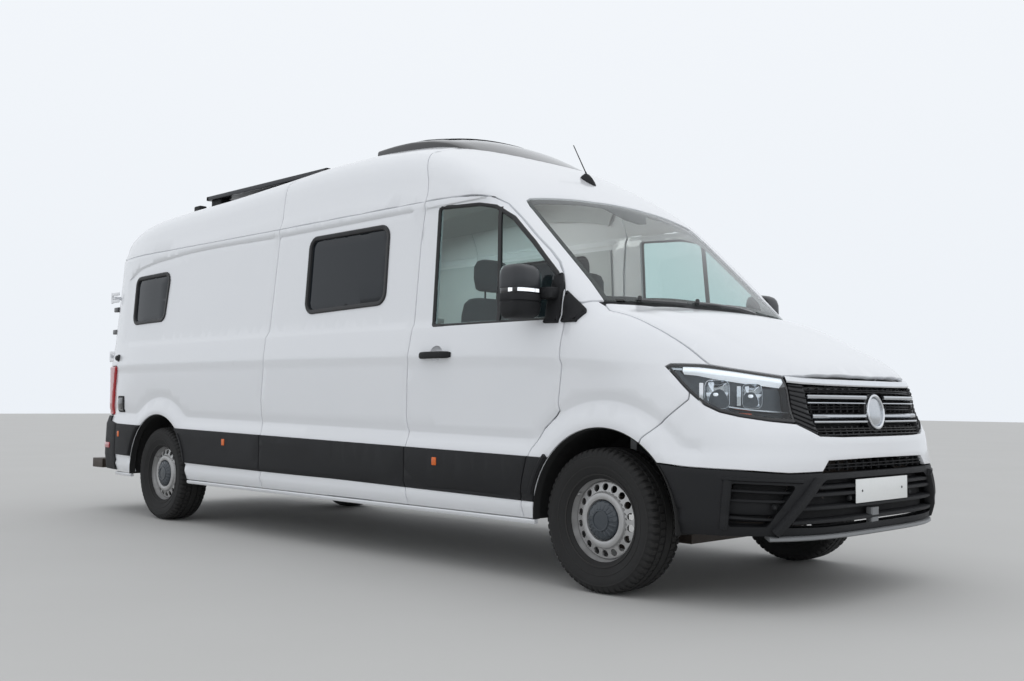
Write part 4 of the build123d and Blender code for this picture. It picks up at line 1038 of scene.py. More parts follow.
BAR_MAIN = [(-.012, -.03), (-.011, -.001), (-.006, .006), (.004, .008), (.010, .002), (.011, -.03)]
BAR_THIN = [(-.004, -.03), (-.0045, .000), (-.001, .004), (.003, .003), (.0045, -.03)]
bright = []
for z in (.968, .880):
    for side in (-1, 1):
        near, far = .088 * side, grille_end(z) * side
        rows = sorted((near, far))
        bright.append(strip(on_nose, line_between((rows[0], z), (rows[1], z)), BAR_MAIN))
        bright.append(strip(on_nose, line_between((rows[0], z - .027), (rows[1], z - .027)), BAR_THIN))
make("grille_bars", *merged(bright), satin_chrome, "chassis", "black_plastic", ("grille",))

strip_half = nose_line((.812, -.596, 1.050), (.862, -.527, 1.043), (.905, -.38, 1.038), (.940, -.2, 1.036),
                       (.950, 0, 1.036))
top_line = np.concatenate([strip_half, strip_half[::-1][1:] * (-1, 1)])[::-1]
make("grille_top_strip", *strip(on_nose, top_line, [(-.015, -.03), (-.015, .000), (-.010, .006), (.008, .007),
                                                    (.014, .002), (.014, -.03)]), chrome, "chassis",
     "black_plastic", ("grille",))

WEDGE = ((.812, -.596, 1.032), (.866, -.530, 1.026), (.948, -.509, .794), (.895, -.619, .842))
wedge_paper = rounded(paper_nose(WEDGE), .006, 4)
panel("wedge_right", on_nose, wedge_paper, grille_black, "chassis", "black_plastic", thick=.03, gap=.001,
      proud=-.004, replaces=("grille",), step=.03)
other_side(bpy.data.objects["wedge_right"], "wedge_left", "chassis")
fins = []
for t in np.linspace(.06, .94, 9):
    outer = np.array(paper_nose(WEDGE[:1]))[0] * (1 - t) + np.array(paper_nose(WEDGE[3:]))[0] * t
    inner = np.array(paper_nose(WEDGE[1:2]))[0] * (1 - t) + np.array(paper_nose(WEDGE[2:3]))[0] * t
    fin = strip(on_nose, line_between(outer * .98 + inner * .02, inner * .96 + outer * .04, .03),
                [(-.005, -.012), (-.004, .001), (.001, .003), (.005, -.012)])
    fins += [fin, flipped(fin)]
make("wedge_fins", *merged(fins), black_grain, "chassis", "black_plastic")

BADGE_Z = .899
badge_x = float(on_nose(np.array([(0., BADGE_Z)]))[0][0])
lean = math.atan2(*(outward(np.array([(badge_x, 0, BADGE_Z)]))[0][[2, 0]]))


def leaned(part, angle, about):
    points, faces = part
    c, s = math.cos(angle), math.sin(angle)
    x, y, z = (np.array(points, float) - about).T
    return np.stack([x * c - z * s, y, x * s + z * c], 1) + about, faces


badge_centre = np.array((badge_x, 0, BADGE_Z))
badge = turned([(0, .014), (.060, .012), (.068, .008), (.070, .004), (.070, -.02)], badge_centre, "X", 64)
badge_ring = turned([(.070, .004), (.072, .014), (.078, .018), (.085, .015), (.087, .008), (.087, -.02)],
                    badge_centre, "X", 64)
badge_base = turned([(.086, -.002), (.093, .006), (.098, .002), (.099, -.03)], badge_centre, "X", 64)
make("badge_disc", *leaned(badge, lean, badge_centre), satin_chrome, "chassis", "black_plastic")
make("badge_ring", *leaned(badge_ring, lean, badge_centre), chrome, "chassis", "black_plastic")
make("badge_base", *leaned(badge_base, lean, badge_centre), grille_black, "chassis", "black_plastic")


# ---- headlamps -----------------------------------------------------------------------------------
# A black housing with a thick rim, a dark inner mask, two bright reflectors, a light guide along the
# top and an amber marker, all under a clear polycarbonate cover that follows the nose.
def see_through(name, tint, mirror=.06, rough=.02):
    """Thin clear sheet: tinted light through it, with the sky mirrored more at a glancing look."""
    material = bpy.data.materials.new(name)
    tree = nodes_of(material)
    place = node(tree, "TexCoord").outputs["Object"]
    waves = node(tree, "TexNoise", {"Vector": place, "Scale": 2.5, "Detail": 2})
    ripple = node(tree, "Bump", {"Height": waves.outputs["Fac"], "Strength": .03, "Distance": .02})
    film = node(tree, "TexNoise", {"Vector": place, "Scale": 60, "Detail": 5})
    clean = node(tree, "MapRange", {"Value": film.outputs["Fac"], "To Min": .96, "To Max": 1.0})
    colour = node(tree, "Mix", {"Factor": clean.outputs["Result"]}, data_type="RGBA")
    colour.inputs[6].default_value, colour.inputs[7].default_value = (.5, .52, .52, 1), (*tint, 1)
    through_it = node(tree, "BsdfTransparent", {"Color": colour.outputs[2]})
    shine = node(tree, "BsdfGlossy", {"Roughness": rough, "Normal": ripple.outputs["Normal"]})
    facing = node(tree, "Fresnel", {"IOR": 1.45, "Normal": ripple.outputs["Normal"]})
    amount = node(tree, "MapRange", {"Value": facing.outputs["Fac"], "From Min": .03, "To Min": mirror})
    front = node(tree, "Math", {0: 1.0, 1: node(tree, "NewGeometry").outputs["Backfacing"]},
                 operation="SUBTRACT")
    share = node(tree, "Math", {0: amount.outputs["Result"], 1: front.outputs[0]}, operation="MULTIPLY")
    mix = node(tree, "MixShader", {"Fac": share.outputs[0]})
    tree.links.new(through_it.outputs["BSDF"], mix.inputs[1])
    tree.links.new(shine.outputs["BSDF"], mix.inputs[2])
    tree.links.new(mix.outputs["Shader"], node(tree, "OutputMaterial").inputs["Surface"])
    return material


lamp_cover = see_through("lamp_cover", (.95, .97, .98), .05, .01)
lamp_mask = finish("lamp_mask", (.045, .055, .065), .35, (.06, .07, .08), patch=30, grain=.2)
gloss_black = finish("gloss_black", (.008, .008, .009), .12, (.012, .012, .013), patch=10, grain=.02, coat=.5)
guide_white = finish("guide_white", (.90, .92, .95), .2, (.82, .85, .9), patch=60, grain=.2,
                     **{"Emission Color": (.93, .96, 1, 1), "Emission Strength": .55})
amber = finish("amber", (.55, .10, .03), .25, (.45, .07, .02), patch=90, grain=.3)

lamp_paper = paper_nose(LAMP_TOP + LAMP_INNER + LAMP_FOOT)
lamp_inner = inset(walk(lamp_paper, closed=True), .011)
panel("lamp_rim_right", on_nose, lamp_paper, gloss_black, "chassis", "black_plastic", thick=.085, gap=.0015,
      holes=[lamp_inner], proud=.0005, soft=.003, replaces=("headlamps",), step=.03)
other_side(bpy.data.objects["lamp_rim_right"], "lamp_rim_left", "chassis", ("headlamps",))
panel("lamp_mask_right", on_nose, lamp_inner, lamp_mask, "chassis", "black_plastic", thick=.008, gap=-.004,
      proud=-.062, soft=.001, step=.03)
other_side(bpy.data.objects["lamp_mask_right"], "lamp_mask_left", "chassis")
panel("lamp_cover_right", on_nose, lamp_inner, lamp_cover, "chassis", "lamp_lens", thick=.003, gap=-.002,
      proud=-.0005, soft=.001, step=.03, replaces=("headlamps",))
other_side(bpy.data.objects["lamp_cover_right"], "lamp_cover_left", "chassis")

guide = strip(on_nose,
              nose_line((.462, -.897, 1.098), (.52, -.862, 1.096), (.572, -.828, 1.088), (.65, -.763, 1.078),
                                 (.74, -.68, 1.062), (.806, -.610, 1.047)),
              [(-.014, -.05), (-.014, -.010), (-.008, -.005), (.008, -.005), (.013, -.010), (.013, -.05)])
make("light_guides", *mirrored(guide), guide_white, "chassis", "lamp_lens")
tip = strip(on_nose, nose_line((.402, -.929, 1.098), (.43, -.915, 1.102), (.458, -.90, 1.100)),
            [(-.010, -.04), (-.010, -.008), (.010, -.008), (.010, -.04)])
make("lamp_tips", *mirrored(tip), satin_chrome, "chassis", "lamp_lens")
outer_mask = strip(on_nose, nose_line((.432, -.925, 1.085), (.49, -.912, 1.02), (.545, -.905, .965),
                                      (.60, -.895, .925)),
                   [(-.016, -.05), (-.022, -.012), (.010, -.010), (.018, -.020), (.018, -.05)])
make("lamp_side_steps", *mirrored(outer_mask), lamp_mask, "chassis", "black_plastic")


def square_dish(centre, heading, wide, tall, depth):
    """A squarish reflector bowl with facets, facing along a heading."""
    rings = ((1.0, 0), (.97, .001), (.94, -.1), (.86, -.38), (.70, -.68), (.48, -.88), (.22, -.98), (.10, -1))
    turn = np.linspace(0, 2 * math.pi, 40, endpoint=False)
    power = 2 / 4.5
    shape = np.stack([np.sign(np.cos(turn)) * np.abs(np.cos(turn)) ** power * wide,
                      np.sign(np.sin(turn)) * np.abs(np.sin(turn)) ** power * tall], 1)
    points = []
    for scale, deep in rings:
        facet = 1 + .03 * ((np.arange(40) // 4) % 2) * (0 < -deep < .95)
        flat = shape * (scale * facet)[:, None]
        points.append(np.stack([np.full(40, deep * depth), flat[:, 0], flat[:, 1]], 1))
    points = headed(np.concatenate(points), heading, centre)
    n = len(rings)
    faces = [(r * 40 + i, r * 40 + (i + 1) % 40, (r + 1) * 40 + (i + 1) % 40, (r + 1) * 40 + i)
             for r in range(n - 1) for i in range(40)] + [tuple((n - 1) * 40 + i for i in range(40))]
    return points, faces


def bulb(centre, heading, length=.030):
    profile = [(0, length), (.004, length - .001), (.0075, length - .006), (.008, length - .016),
               (.0078, -.002), (.0078, -.01)]
    points, faces = turned(profile, (0, 0, 0), "X", 20)
    return headed(points, heading, centre), faces


def beside(points, extra):
    """Places just under the cover, given by points on it and how deep they lie."""
    at = on_nose(paper_nose(points))
    return at - extra * outward(at)


LAMP_HEADING = math.radians(-38)
bowls, bulbs, blades = [], [], []
for place, wide, tall in (((.628, -.862, .985), .060, .068), ((.752, -.752, .978), .048, .058)):
    centre = beside([place], .030)[0]
    bowls.append(square_dish(centre, LAMP_HEADING, wide, tall, .045))
    bulbs.append(bulb(centre + np.array((-.030 * math.cos(LAMP_HEADING), -.030 * math.sin(LAMP_HEADING), 0)),
                      LAMP_HEADING))
    out = np.array((math.sin(LAMP_HEADING), -math.cos(LAMP_HEADING), 0)) * (wide + .016)
    post = slab(-.012, .004, -.010, .010, -tall * .78, tall * .78, .002)
    blades.append((headed(post[0], LAMP_HEADING, centre + out), post[1]))
sill_line = strip(on_nose, nose_line((.684, -.846, .922), (.767, -.772, .909), (.865, -.628, .898)),
                  [(-.005, -.045), (-.005, -.020), (.002, -.016), (.005, -.020), (.005, -.045)])
make("reflectors", *merged(bowls + [flipped(part) for part in bowls + blades] + blades), chrome, "chassis",
     "lamp_lens")
make("lamp_bright_lines", *mirrored(sill_line), satin_chrome, "chassis", "lamp_lens")
make("lamp_bulbs", *mirrored(*bulbs), guide_white, "chassis", "lamp_lens")
marker = strip(on_nose, nose_line((.708, -.838, .890), (.735, -.815, .888), (.765, -.785, .886)),
               [(-.006, -.03), (-.006, -.008), (.006, -.008), (.006, -.03)])
make("lamp_markers", *mirrored(marker), amber, "chassis", "red_lens")


# ---- side mouldings and sills --------------------------------------------------------------------
# Grained black rub strips clipped along the flanks, each ending with the panel it sits on, with small
# amber marker lamps in them. Below them the painted sill ends in a rolled and seam-welded flange.
marker_orange = finish("marker_orange", (.78, .17, .02), .25, (.60, .10, .015), patch=60, grain=.3,
                       grain_size=260)


def edge_at(points):
    """Place ahead of an upright edge at a height."""
    rows = sorted((z, x) for x, z in points)
    return lambda z: float(np.interp(z, *zip(*rows)))


def arch_at(arch, side):
    cx, cz = ARCHES[arch]
    return lambda z: cx + side * math.sqrt(ARCH_R ** 2 - (z - cz) ** 2)


def on_body(rides, side):
    """The body a piece rides on; a name that ends with a bar wants its side."""
    return rides + side if rides.endswith("_") else rides


def moulding(name, fore, back, rides, lay=on_side, replaces=()):
    ends = []
    for edge in (fore, back):
        rows = []
        for t in np.linspace(0, 1, 7):
            z = .55
            for _ in range(4):
                z = moulding_foot_z(edge(z)) * (1 - t) + band_z(edge(z)) * t
            rows.append((edge(z), z))
        ends.append(rows)
    reach = np.linspace(max(x for x, z in ends[1]) + .03, min(x for x, z in ends[0]) - .03, 12)
    folds = [[(x, moulding_foot_z(x) + up) for x in reach] for up in (.018, .045)]
    return panel(name, lay, np.array(ends[0] + ends[1][::-1]), black_grain, rides, "black_plastic",
                 thick=.014, proud=.0105, soft=.005, step=.13, gap=.0022, guides=folds, replaces=replaces)


front_door_edge, rear_door_edge = edge_at(DOOR_FRONT_EDGE), edge_at(DOOR_REAR_EDGE)
seam_edge = edge_at(SEAM_2)
CORNER_X = -5.24
for side in ("right", "left"):
    sets = (("wing_moulding", arch_at(0, -1), front_door_edge, "chassis"),
            ("door_moulding", front_door_edge, rear_door_edge, "door_" + side),
            ("mid_moulding", rear_door_edge, seam_edge, "chassis"),
            ("rear_moulding", seam_edge, arch_at(1, 1), "chassis"),
            ("tail_moulding", arch_at(1, -1), lambda z: CORNER_X, "chassis"))
    for name, fore, back, rides in sets:
        if side == "left":
            other_side(bpy.data.objects[name + "_right"], name + "_left", rides, ("side_mouldings",))
        else:
            moulding(name + "_right", fore, back, rides, replaces=("side_mouldings",))

for name, x, z, rides in (("front_marker", -1.172, .597, "door_"), ("middle_marker", -3.468, .630, "chassis"),
                          ("rear_marker", -5.166, .645, "chassis")):
    lens = rounded(((x - .019, z - .023), (x + .019, z - .023), (x + .019, z + .023), (x - .019, z + .023)),
                   .006, 4)
    panel(name + "_right", on_side, lens, marker_orange, on_body(rides, "right"), "red_lens", thick=.012,
          proud=.0145, soft=.004, gap=0, step=.03)
    other_side(bpy.data.objects[name + "_right"], name + "_left", on_body(rides, "left"))

sill_flange = [(-.012, -.02), (-.013, .000), (-.008, .005), (.006, .004), (.011, .000), (.011, -.02)]
for name, start, end in (("sill_flange", -.41, -4.03), ("tail_flange", -4.95, -5.30)):
    flange = strip(on_side, line_between((start, .317), (end, .317), .12), sill_flange)
    make(name + "s", *mirrored(flange), white_paint, "chassis", "white_paint")

# The socket flap behind the rear wheel, and the black rims where the mouldings meet the arches.
flap = rounded(((-5.262, .823), (-5.122, .823), (-5.122, .955), (-5.262, .955)), .014, 4)
panel("socket_frame_right", on_side, flap, black_grain, "chassis", "black_plastic", thick=.014, proud=.008,
      soft=.004, gap=0, step=.06)
panel("socket_lid_right", on_side, inset(flap, .014), gloss_black, "chassis", "black_plastic", thick=.010,
      proud=.0105, soft=.003, gap=0, step=.06)
rims = []
for arch, start, end in ((0, 139.5, 166), (1, 13.5, 41.5), (1, 132, 164)):
    line = arc(ARCHES[arch], ARCH_R + .017, start, end, 3)
    rims.append(strip(on_side, line, [(-.013, -.01), (-.012, .016), (-.006, .020), (.006, .017),
                                      (.012, .008), (.013, -.01)]))
make("arch_rims", *mirrored(*rims), black_grain, "chassis", "black_plastic")


# ---- wheel-arch liners ---------------------------------------------------------------------------
# Black moulded tubs of felt-faced plastic, screwed up behind the panels so that road dirt stays out.
liner_felt = finish("liner_felt", (.012, .012, .013), .95, (.020, .020, .019), patch=14, grain=.9,
                    grain_size=260)


def swept(profile, centre, start, end, step=6):
    """A closed section swept round the Y axis; profile rows are radius and place along Y."""
    turn = np.radians(np.arange(start, end + step / 2, step))
    profile = np.array(profile, float)
    points = np.stack([np.outer(np.cos(turn), profile[:, 0]) + centre[0],
                       np.tile(profile[:, 1], (len(turn), 1)),
                       np.outer(np.sin(turn), profile[:, 0]) + centre[1]], -1).reshape(-1, 3)
    m = len(profile)
    faces = [(i * m + j, i * m + (j + 1) % m, (i + 1) * m + (j + 1) % m, (i + 1) * m + j)
             for i in range(len(turn) - 1) for j in range(m)]
    return points, faces + [tuple(range(m)), tuple(range(len(points) - 1, len(points) - m - 1, -1))]


LINER_R = .470
for name, arch, wall in (("front_liners", 0, .520), ("rear_liners", 1, .722)):
    tub = swept([(ARCH_R - .003, -1.002), (ARCH_R - .003, -.955), (LINER_R, -.94), (LINER_R, -wall - .03),
                 (LINER_R - .03, -wall), (.20, -wall), (.20, -wall + .004),
                 (LINER_R - .026, -wall + .004), (LINER_R + .005, -wall - .028), (LINER_R + .005, -.943),
                 (ARCH_R + .002, -.958), (ARCH_R + .002, -1.002)],
                ARCHES[arch], -3, 183)
    make(name, *mirrored(tub), liner_felt, "chassis", "black_plastic")


# ---- wheels --------------------------------------------------------------------------------------
# 16 inch steel wheels: a pressed disc with eighteen vent holes welded into a rolled rim, painted
# silver, with a ribbed dark plastic cap clipped over the bolts, and 235/65 tyres with blocky shoulders.
rubber = finish("rubber", (.010, .010, .0105), .8, (.017, .0165, .016), patch=7, grain=.25, grain_size=420,
                edge_wear_and_highlight=(.35, (.07, .065, .06)))
# Its convex edges are painted a lighter silver: a painted highlight where the rims' edges catch the light.
wheel_silver = finish("wheel_silver", (.46, .46, .46), .36, (.36, .355, .35), patch=14, metal=.55, grain=.06,
                      edge_wear_and_highlight=(.4, (.62, .62, .61)))
cap_blue = finish("cap_blue", (.030, .038, .048), .22, (.045, .055, .066), patch=22, grain=.08, coat=.3)

TYRE_HALF = ((.203, .076), (.214, .087), (.221, .092), (.222, .0965), (.229, .0985), (.2305, .0955),
             (.246, .1035),
             (.261, .1085), (.2625, .1105), (.2675, .111), (.269, .1095), (.285, .1145), (.300, .1165),
             (.311, .116),
             (.3125, .1172), (.3165, .117), (.318, .115), (.329, .1115), (.337, .1085), (.3445, .103),
             (.3500, .094),
             (.3530, .082), (.3538, .0715), (.3470, .0695), (.3470, .0630), (.3545, .0610), (.3552, .046),
             (.3556, .0310), (.3475, .0290), (.3475, .0230), (.356, .0210), (.356, 0))
BLOCKS = 60
BLOCK_STEPS = 6


def tyre_shape():
    rows = np.array(TYRE_HALF + tuple((r, -y) for r, y in TYRE_HALF[-2::-1]))
    turn = np.linspace(0, 2 * math.pi, BLOCKS * BLOCK_STEPS, endpoint=False)
    phase = np.arange(len(turn)) % BLOCK_STEPS
    across = np.abs(rows[:, 1])
    shoulder = (rows[:, 0] > .327) & (across > .071)
    middle = (across < .0615) & (across > .030)
    slot = np.where(phase < 2, .0075, 0)[:, None] * shoulder + np.where(phase == 4, .005, 0)[:, None] * middle
    radius = rows[:, 0] - slot
    points = np.stack([np.cos(turn)[:, None] * radius, np.tile(rows[:, 1], (len(turn), 1)),
                       np.sin(turn)[:, None] * radius], -1)
    return points.reshape(-1, 3), ring_faces(len(turn), len(rows))


def ring_faces(n, m):
    return [(i * m + j, i * m + j + 1, (i + 1) % n * m + j + 1, (i + 1) % n * m + j)
            for i in range(n) for j in range(m - 1)]


VENTS = 18
VENT_RING_R = .163
VENT_R = .0185
DISC = ((.0965, .052), (.099, .066), (.104, .0735), (.112, .0765), (.124, .0765), (.133, .0735), (.139, .066),
        (.1425, .058))
DISC_EDGE = ((.1845, .047), (.189, .0435), (.1915, .035), (.1925, .015))
DISC_T = .005


def vent_band():
    """The disc's holed ring: eighteen equal tiles, each with a round hole and its turned-in wall."""
    inner, outer = DISC[-1][0], DISC_EDGE[0][0]
    half_r, half_turn = (outer - inner) / 2, math.pi / VENTS
    turn = np.linspace(0, 2 * math.pi, 16, endpoint=False)
    cx, sx = np.cos(turn), np.sin(turn)
    stretch = 1 / np.maximum(np.abs(cx), np.abs(sx))
    points, faces = [], []
    for k in range(VENTS):
        middle = 2 * math.pi * (k + .5) / VENTS
        start = len(points)
        for square, deep in ((1, 0), (0, 0), (0, .009), (1, DISC_T)):
            if square:
                radius = (inner + outer) / 2 + half_r * cx * stretch
                angle = middle + half_turn * sx * stretch
            else:
                radius = VENT_RING_R + VENT_R * cx
                angle = middle + VENT_R * sx / VENT_RING_R
            height = np.interp(radius, (inner, outer), (DISC[-1][1], DISC_EDGE[0][1])) - deep
            points += list(np.stack([radius * np.cos(angle), height, radius * np.sin(angle)], 1))
        faces += [(start + r * 16 + i, start + r * 16 + (i + 1) % 16, start + (r + 1) * 16 + (i + 1) % 16,
                   start + (r + 1) * 16 + i) for r in range(3) for i in range(16)]
    return np.array(points), faces


def rim_shape():
    lip = ((.2045, .060), (.206, .0745), (.2135, .079), (.2150, .0865), (.2185, .0890), (.2215, .0875),
           (.2220, .082),
           (.2175, .0765), (.207, .069), (.1985, .045), (.1965, 0), (.2, -.05), (.209, -.07), (.219, -.078),
           (.2215, -.0825), (.217, -.084), (.205, -.074), (.193, -.05), (.190, 0), (.1935, .045),
           (.2045, .060))
    back = [(r, y - DISC_T) for r, y in DISC][::-1]
    hub = list(DISC) + [(DISC[-1][0], DISC[-1][1] - DISC_T)] + back[1:] + [DISC[0]]
    edge = list(DISC_EDGE) + [(r - .004, y - .003) for r, y in DISC_EDGE[::-1]] + [DISC_EDGE[0]]
    bowl = ((0, .045), (.098, .045), (.098, .040), (0, .040))
    valve = ((0, .066), (.0035, .066), (.0045, .062), (.0045, .045), (.0065, .040))
    stem = turned(valve, (0, 0, 0), "Y", 12)
    return merged([turned(shape, (0, 0, 0), "Y", 72) for shape in (lip, hub, edge, bowl)] + [vent_band()]
                  + [(stem[0] + (-.155, .012, .118), stem[1])])


def cap_shape():
    rows = ((0, .0915), (.030, .0915), (.043, .0905), (.0445, .0945), (.049, .0955), (.0525, .0945),
            (.054, .0905),
            (.057, .0895), (.072, .0870), (.084, .0825), (.091, .0775), (.0945, .074), (.0965, .068),
            (.0975, .056))
    ribs, steps = 20, 8
    turn = np.linspace(0, 2 * math.pi, ribs * steps, endpoint=False)
    rows = np.array(rows)
    rib = np.isin(np.arange(len(turn)) % steps, (0, 1, 2))[:,
                                                           None] * ((rows[:, 0] > .056) & (rows[:, 0] < .092))
    points = np.stack([np.outer(np.cos(turn), rows[:, 0]), rows[:, 1] + .0028 * rib,
                       np.outer(np.sin(turn), rows[:, 0])], -1)
    return points.reshape(-1, 3), ring_faces(len(turn), len(rows))


tyre, rim, cap = tyre_shape(), rim_shape(), cap_shape()
for corner in ("fl", "fr", "rl", "rr"):
    low, high = [np.array(c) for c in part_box("tyre_" + corner)]
    centre, outboard = (low + high) / 2, 1 if corner[1] == "l" else -1
    for name, (points, faces), material, slot, hidden in (
            ("tyre_rubber_", tyre, rubber, "tyre_rubber", "tyre_"), ("wheel_steel_", rim, wheel_silver,
                                                                     "wheel_steel", "rim_"),
            ("wheel_cap_", cap, cap_blue, "black_plastic", "rim_")):
        make(name + corner, points * (1, outboard, 1) + centre, faces, material, "wheel_" + corner, slot,
             (hidden + corner,), sharp=32, ahead=False)


# ---- windows -------------------------------------------------------------------------------------
# Green-tinted laminated windscreen bonded in with a black ceramic border, tempered door glass in a
# rubber channel, and dark double-glazed acrylic living windows clamped in rounded black frames.
tinted = see_through("tinted_glass", (.93, .965, .955), .05, .01)
door_tint = see_through("door_glass", (.72, .83, .82), .05, .01)
privacy = finish("privacy_acrylic", (.009, .012, .016), .10, (.013, .017, .021), patch=2, grain=.02,
                 **{"Specular IOR Level": .35})
window_rubber = finish("window_rubber", (.010, .010, .011), .5, (.016, .016, .017), patch=12, grain=.3,
                       grain_size=500)

screen_paper = whole(np.concatenate([paper_over(SCREEN_FOOT, top_knee), paper_over(SCREEN_EDGE, top_knee)]))
panel("windscreen_glass", on_top, screen_paper, tinted, "chassis", "clear_glass", thick=.006, proud=-.003,
      gap=.004, soft=.001, step=.07, replaces=("windscreen",))
border = inset(walk(screen_paper, closed=True), .034)
panel("screen_border", on_top, screen_paper, window_rubber, "chassis", "clear_glass", thick=.003,
      proud=-.0095, gap=.001, soft=.001, holes=[border], step=.2)
sensor = paper_over([(-.665, -y, 2.11) for y in (0, .235)] + [(-.63, -.20, 2.08), (-.545, -.10, 2.01),
                                                             (-.525, 0, 1.99)], top_knee)
panel("sensor_patch", on_top, whole(sensor), window_rubber, "chassis", "clear_glass", thick=.003,
      proud=-.0095, gap=0, soft=.001, step=.08)
scuttle = whole(paper_over(((.10, 0, 1.44), (.085, -.25, 1.44), (.045, -.55, 1.44), (-.01, -.76, 1.43),
                            (-.045, -.85, 1.42), (-.13, -.84, 1.47), (-.09, -.76, 1.49), (-.03, -.541, 1.49),
                            (.02, 0, 1.49)), top_knee))
panel("scuttle_tray", on_top, scuttle, black_grain, "chassis", "black_plastic", thick=.02, proud=-.012, gap=0,
      soft=.003, step=.08, replaces=("scuttle",))
wipers = []
for rows in (((.052, .33), (.044, .18), (.047, .02), (.038, -.20)),
             ((.038, -.30), (.010, -.48), (-.020, -.62))):
    line = walk([paper_over([(x, -abs(y), 1.46)], top_knee)[0] * (1, 1 if y < 0 else -1) for x, y in rows])
    wipers.append(strip(on_top, line, [(-.006, .002), (-.004, .014), (.004, .014), (.006, .002)]))
    pivot = on_top(line[-1:])[0]
    wipers.append(turned([(0, .030), (.008, .029), (.013, .022), (.014, .004)], pivot, "Z", 20))
make("wipers", *merged(wipers), gloss_black, "chassis", "black_plastic")


def framed_window(name, outline, glass, slot, rides, replaces, band=.016, proud=.004, lay=on_side):
    """Glass sunk in a rubber or plastic frame that covers the edge of the opening."""
    frame_rows = [(-band - .004, -.012), (-band, proud - .003), (-band + .005, proud), (.002, proud + .001),
                  (.007, proud - .003), (.008, -.012)]
    loop = walk(outline, .03, closed=True)
    made = [make(name + "_frame_right", *strip(lay, inset(loop, -.001), frame_rows, closed=True),
                 window_rubber, rides[0], "black_plastic", replaces[0]),
            panel(name + "_pane_right", lay, outline, glass, rides[0], slot, thick=.005, proud=-.006,
                  gap=.001, soft=.001, step=.12, replaces=replaces[0])]
    for piece in made:
        other_side(piece, piece.name.replace("right", "left"), rides[1], replaces[1])


framed_window("door_window", DOOR_WINDOW, door_tint, "clear_glass", ("door_right", "door_left"),
              (("door_glass_right",), ("door_glass_left",)), band=.012, proud=.001)
framed_window("middle_window", MID_WINDOW, privacy, "tinted_glass", ("chassis",) * 2,
              (("side_windows",),) * 2, band=.020, proud=.009)
framed_window("rear_window", REAR_WINDOW, privacy, "tinted_glass", ("chassis",) * 2,
              (("side_windows",),) * 2, band=.020, proud=.009)
bar = strip(on_side, line_between((-.702, 1.365), (-.741, 2.0), .06),
            [(-.013, -.012), (-.012, .001), (.012, .001), (.013, -.012)])
division = make("window_bar_right", *bar, window_rubber, "door_right", "black_plastic")
other_side(division, "window_bar_left", "door_left")


# ---- mirrors -------------------------------------------------------------------------------------
# Two-part housings of grained and satin black plastic on a short arm, with a clear turn lamp across
# the front. The foot is a black triangle, part on the door and part on the fixed corner of the body.
cap_satin = finish("mirror_cap", (.022, .024, .028), .30, (.028, .030, .034), patch=8, grain=.05)
mirror_face = finish("mirror_face", (.75, .78, .80), .04, (.70, .73, .75), patch=4, metal=1.0, grain=.01)


def bulged(rows, steps=40):
    """Soft four-sided sections stacked upwards; a row is z, back, front, inner, outer and squareness."""
    turn = np.linspace(0, 2 * math.pi, steps, endpoint=False)
    points = []
    for z, x0, x1, y0, y1, power in rows:
        cx, sy = [np.sign(part) * np.abs(part) ** (2 / power) for part in (np.cos(turn), np.sin(turn))]
        points.append(np.stack([(x0 + x1) / 2 + (x1 - x0) / 2 * cx, (y0 + y1) / 2 + (y1 - y0) / 2 * sy,
                                0 * turn + z], 1))
    n = len(rows)
    faces = [(r * steps + i, r * steps + (i + 1) % steps, (r + 1) * steps + (i + 1) % steps,
              (r + 1) * steps + i)
             for r in range(n - 1) for i in range(steps)]
    return np.concatenate(points), faces + [tuple(range(steps)),
                                            tuple((n - 1) * steps + i for i in range(steps))]


upper = bulged(((1.513, -.487, -.316, -1.211, -1.022, 3.6), (1.520, -.489, -.312, -1.2125, -1.020, 3.6),
                (1.575, -.489, -.314, -1.2125, -1.020, 3.6), (1.605, -.487, -.322, -1.209, -1.024, 3.2),
                (1.624, -.483, -.336, -1.198, -1.034, 2.9), (1.635, -.474, -.360, -1.175, -1.056, 2.6),
                (1.6395, -.450, -.390, -1.145, -1.085, 2.2)))
band = bulged(((1.484, -.484, -.319, -1.208, -1.025, 3.6), (1.487, -.486, -.316, -1.2105, -1.022, 3.6),
               (1.511, -.486, -.316, -1.2105, -1.022, 3.6), (1.515, -.484, -.319, -1.208, -1.025, 3.6)))
lower = bulged(((1.357, -.455, -.372, -1.160, -1.070, 2.6), (1.362, -.474, -.345, -1.190, -1.045, 2.9),
                (1.378, -.484, -.325, -1.206, -1.028, 3.2), (1.400, -.487, -.316, -1.211, -1.022, 3.5),
                (1.438, -.489, -.312, -1.2125, -1.020, 3.6), (1.441, -.487, -.318, -1.209, -1.024, 3.6),
                (1.446, -.487, -.318, -1.209, -1.024, 3.6), (1.449, -.489, -.312, -1.2125, -1.020, 3.6),
                (1.482, -.488, -.314, -1.212, -1.021, 3.6), (1.486, -.486, -.318, -1.209, -1.024, 3.6)))
turn_lamp = []
for y0, y1 in ((-1.2132, -1.100), (-1.094, -1.066)):
    rows = []
    for y in np.linspace(y0, y1, 8):
        edge = (1 - abs((y + 1.11625) / .097) ** 3.6) ** (1 / 3.6) if abs(y + 1.11625) < .097 else 0
        rows.append((-.401 + .0865 * max(edge, .25), y))
    face_points, face_list = [], []
    for x, y in rows:
        face_points += [(x - .012, y, 1.490), (x + .0015, y, 1.4915), (x + .0015, y, 1.5085),
                        (x - .012, y, 1.510)]
    face_list = [(i * 4 + j, i * 4 + (j + 1) % 4, (i + 1) * 4 + (j + 1) % 4, (i + 1) * 4 + j)
                 for i in range(len(rows) - 1)
                 for j in range(4)] + [(0, 1, 2, 3), tuple(len(rows) * 4 - k for k in (1, 2, 3, 4))]
    turn_lamp.append((face_points, face_list))
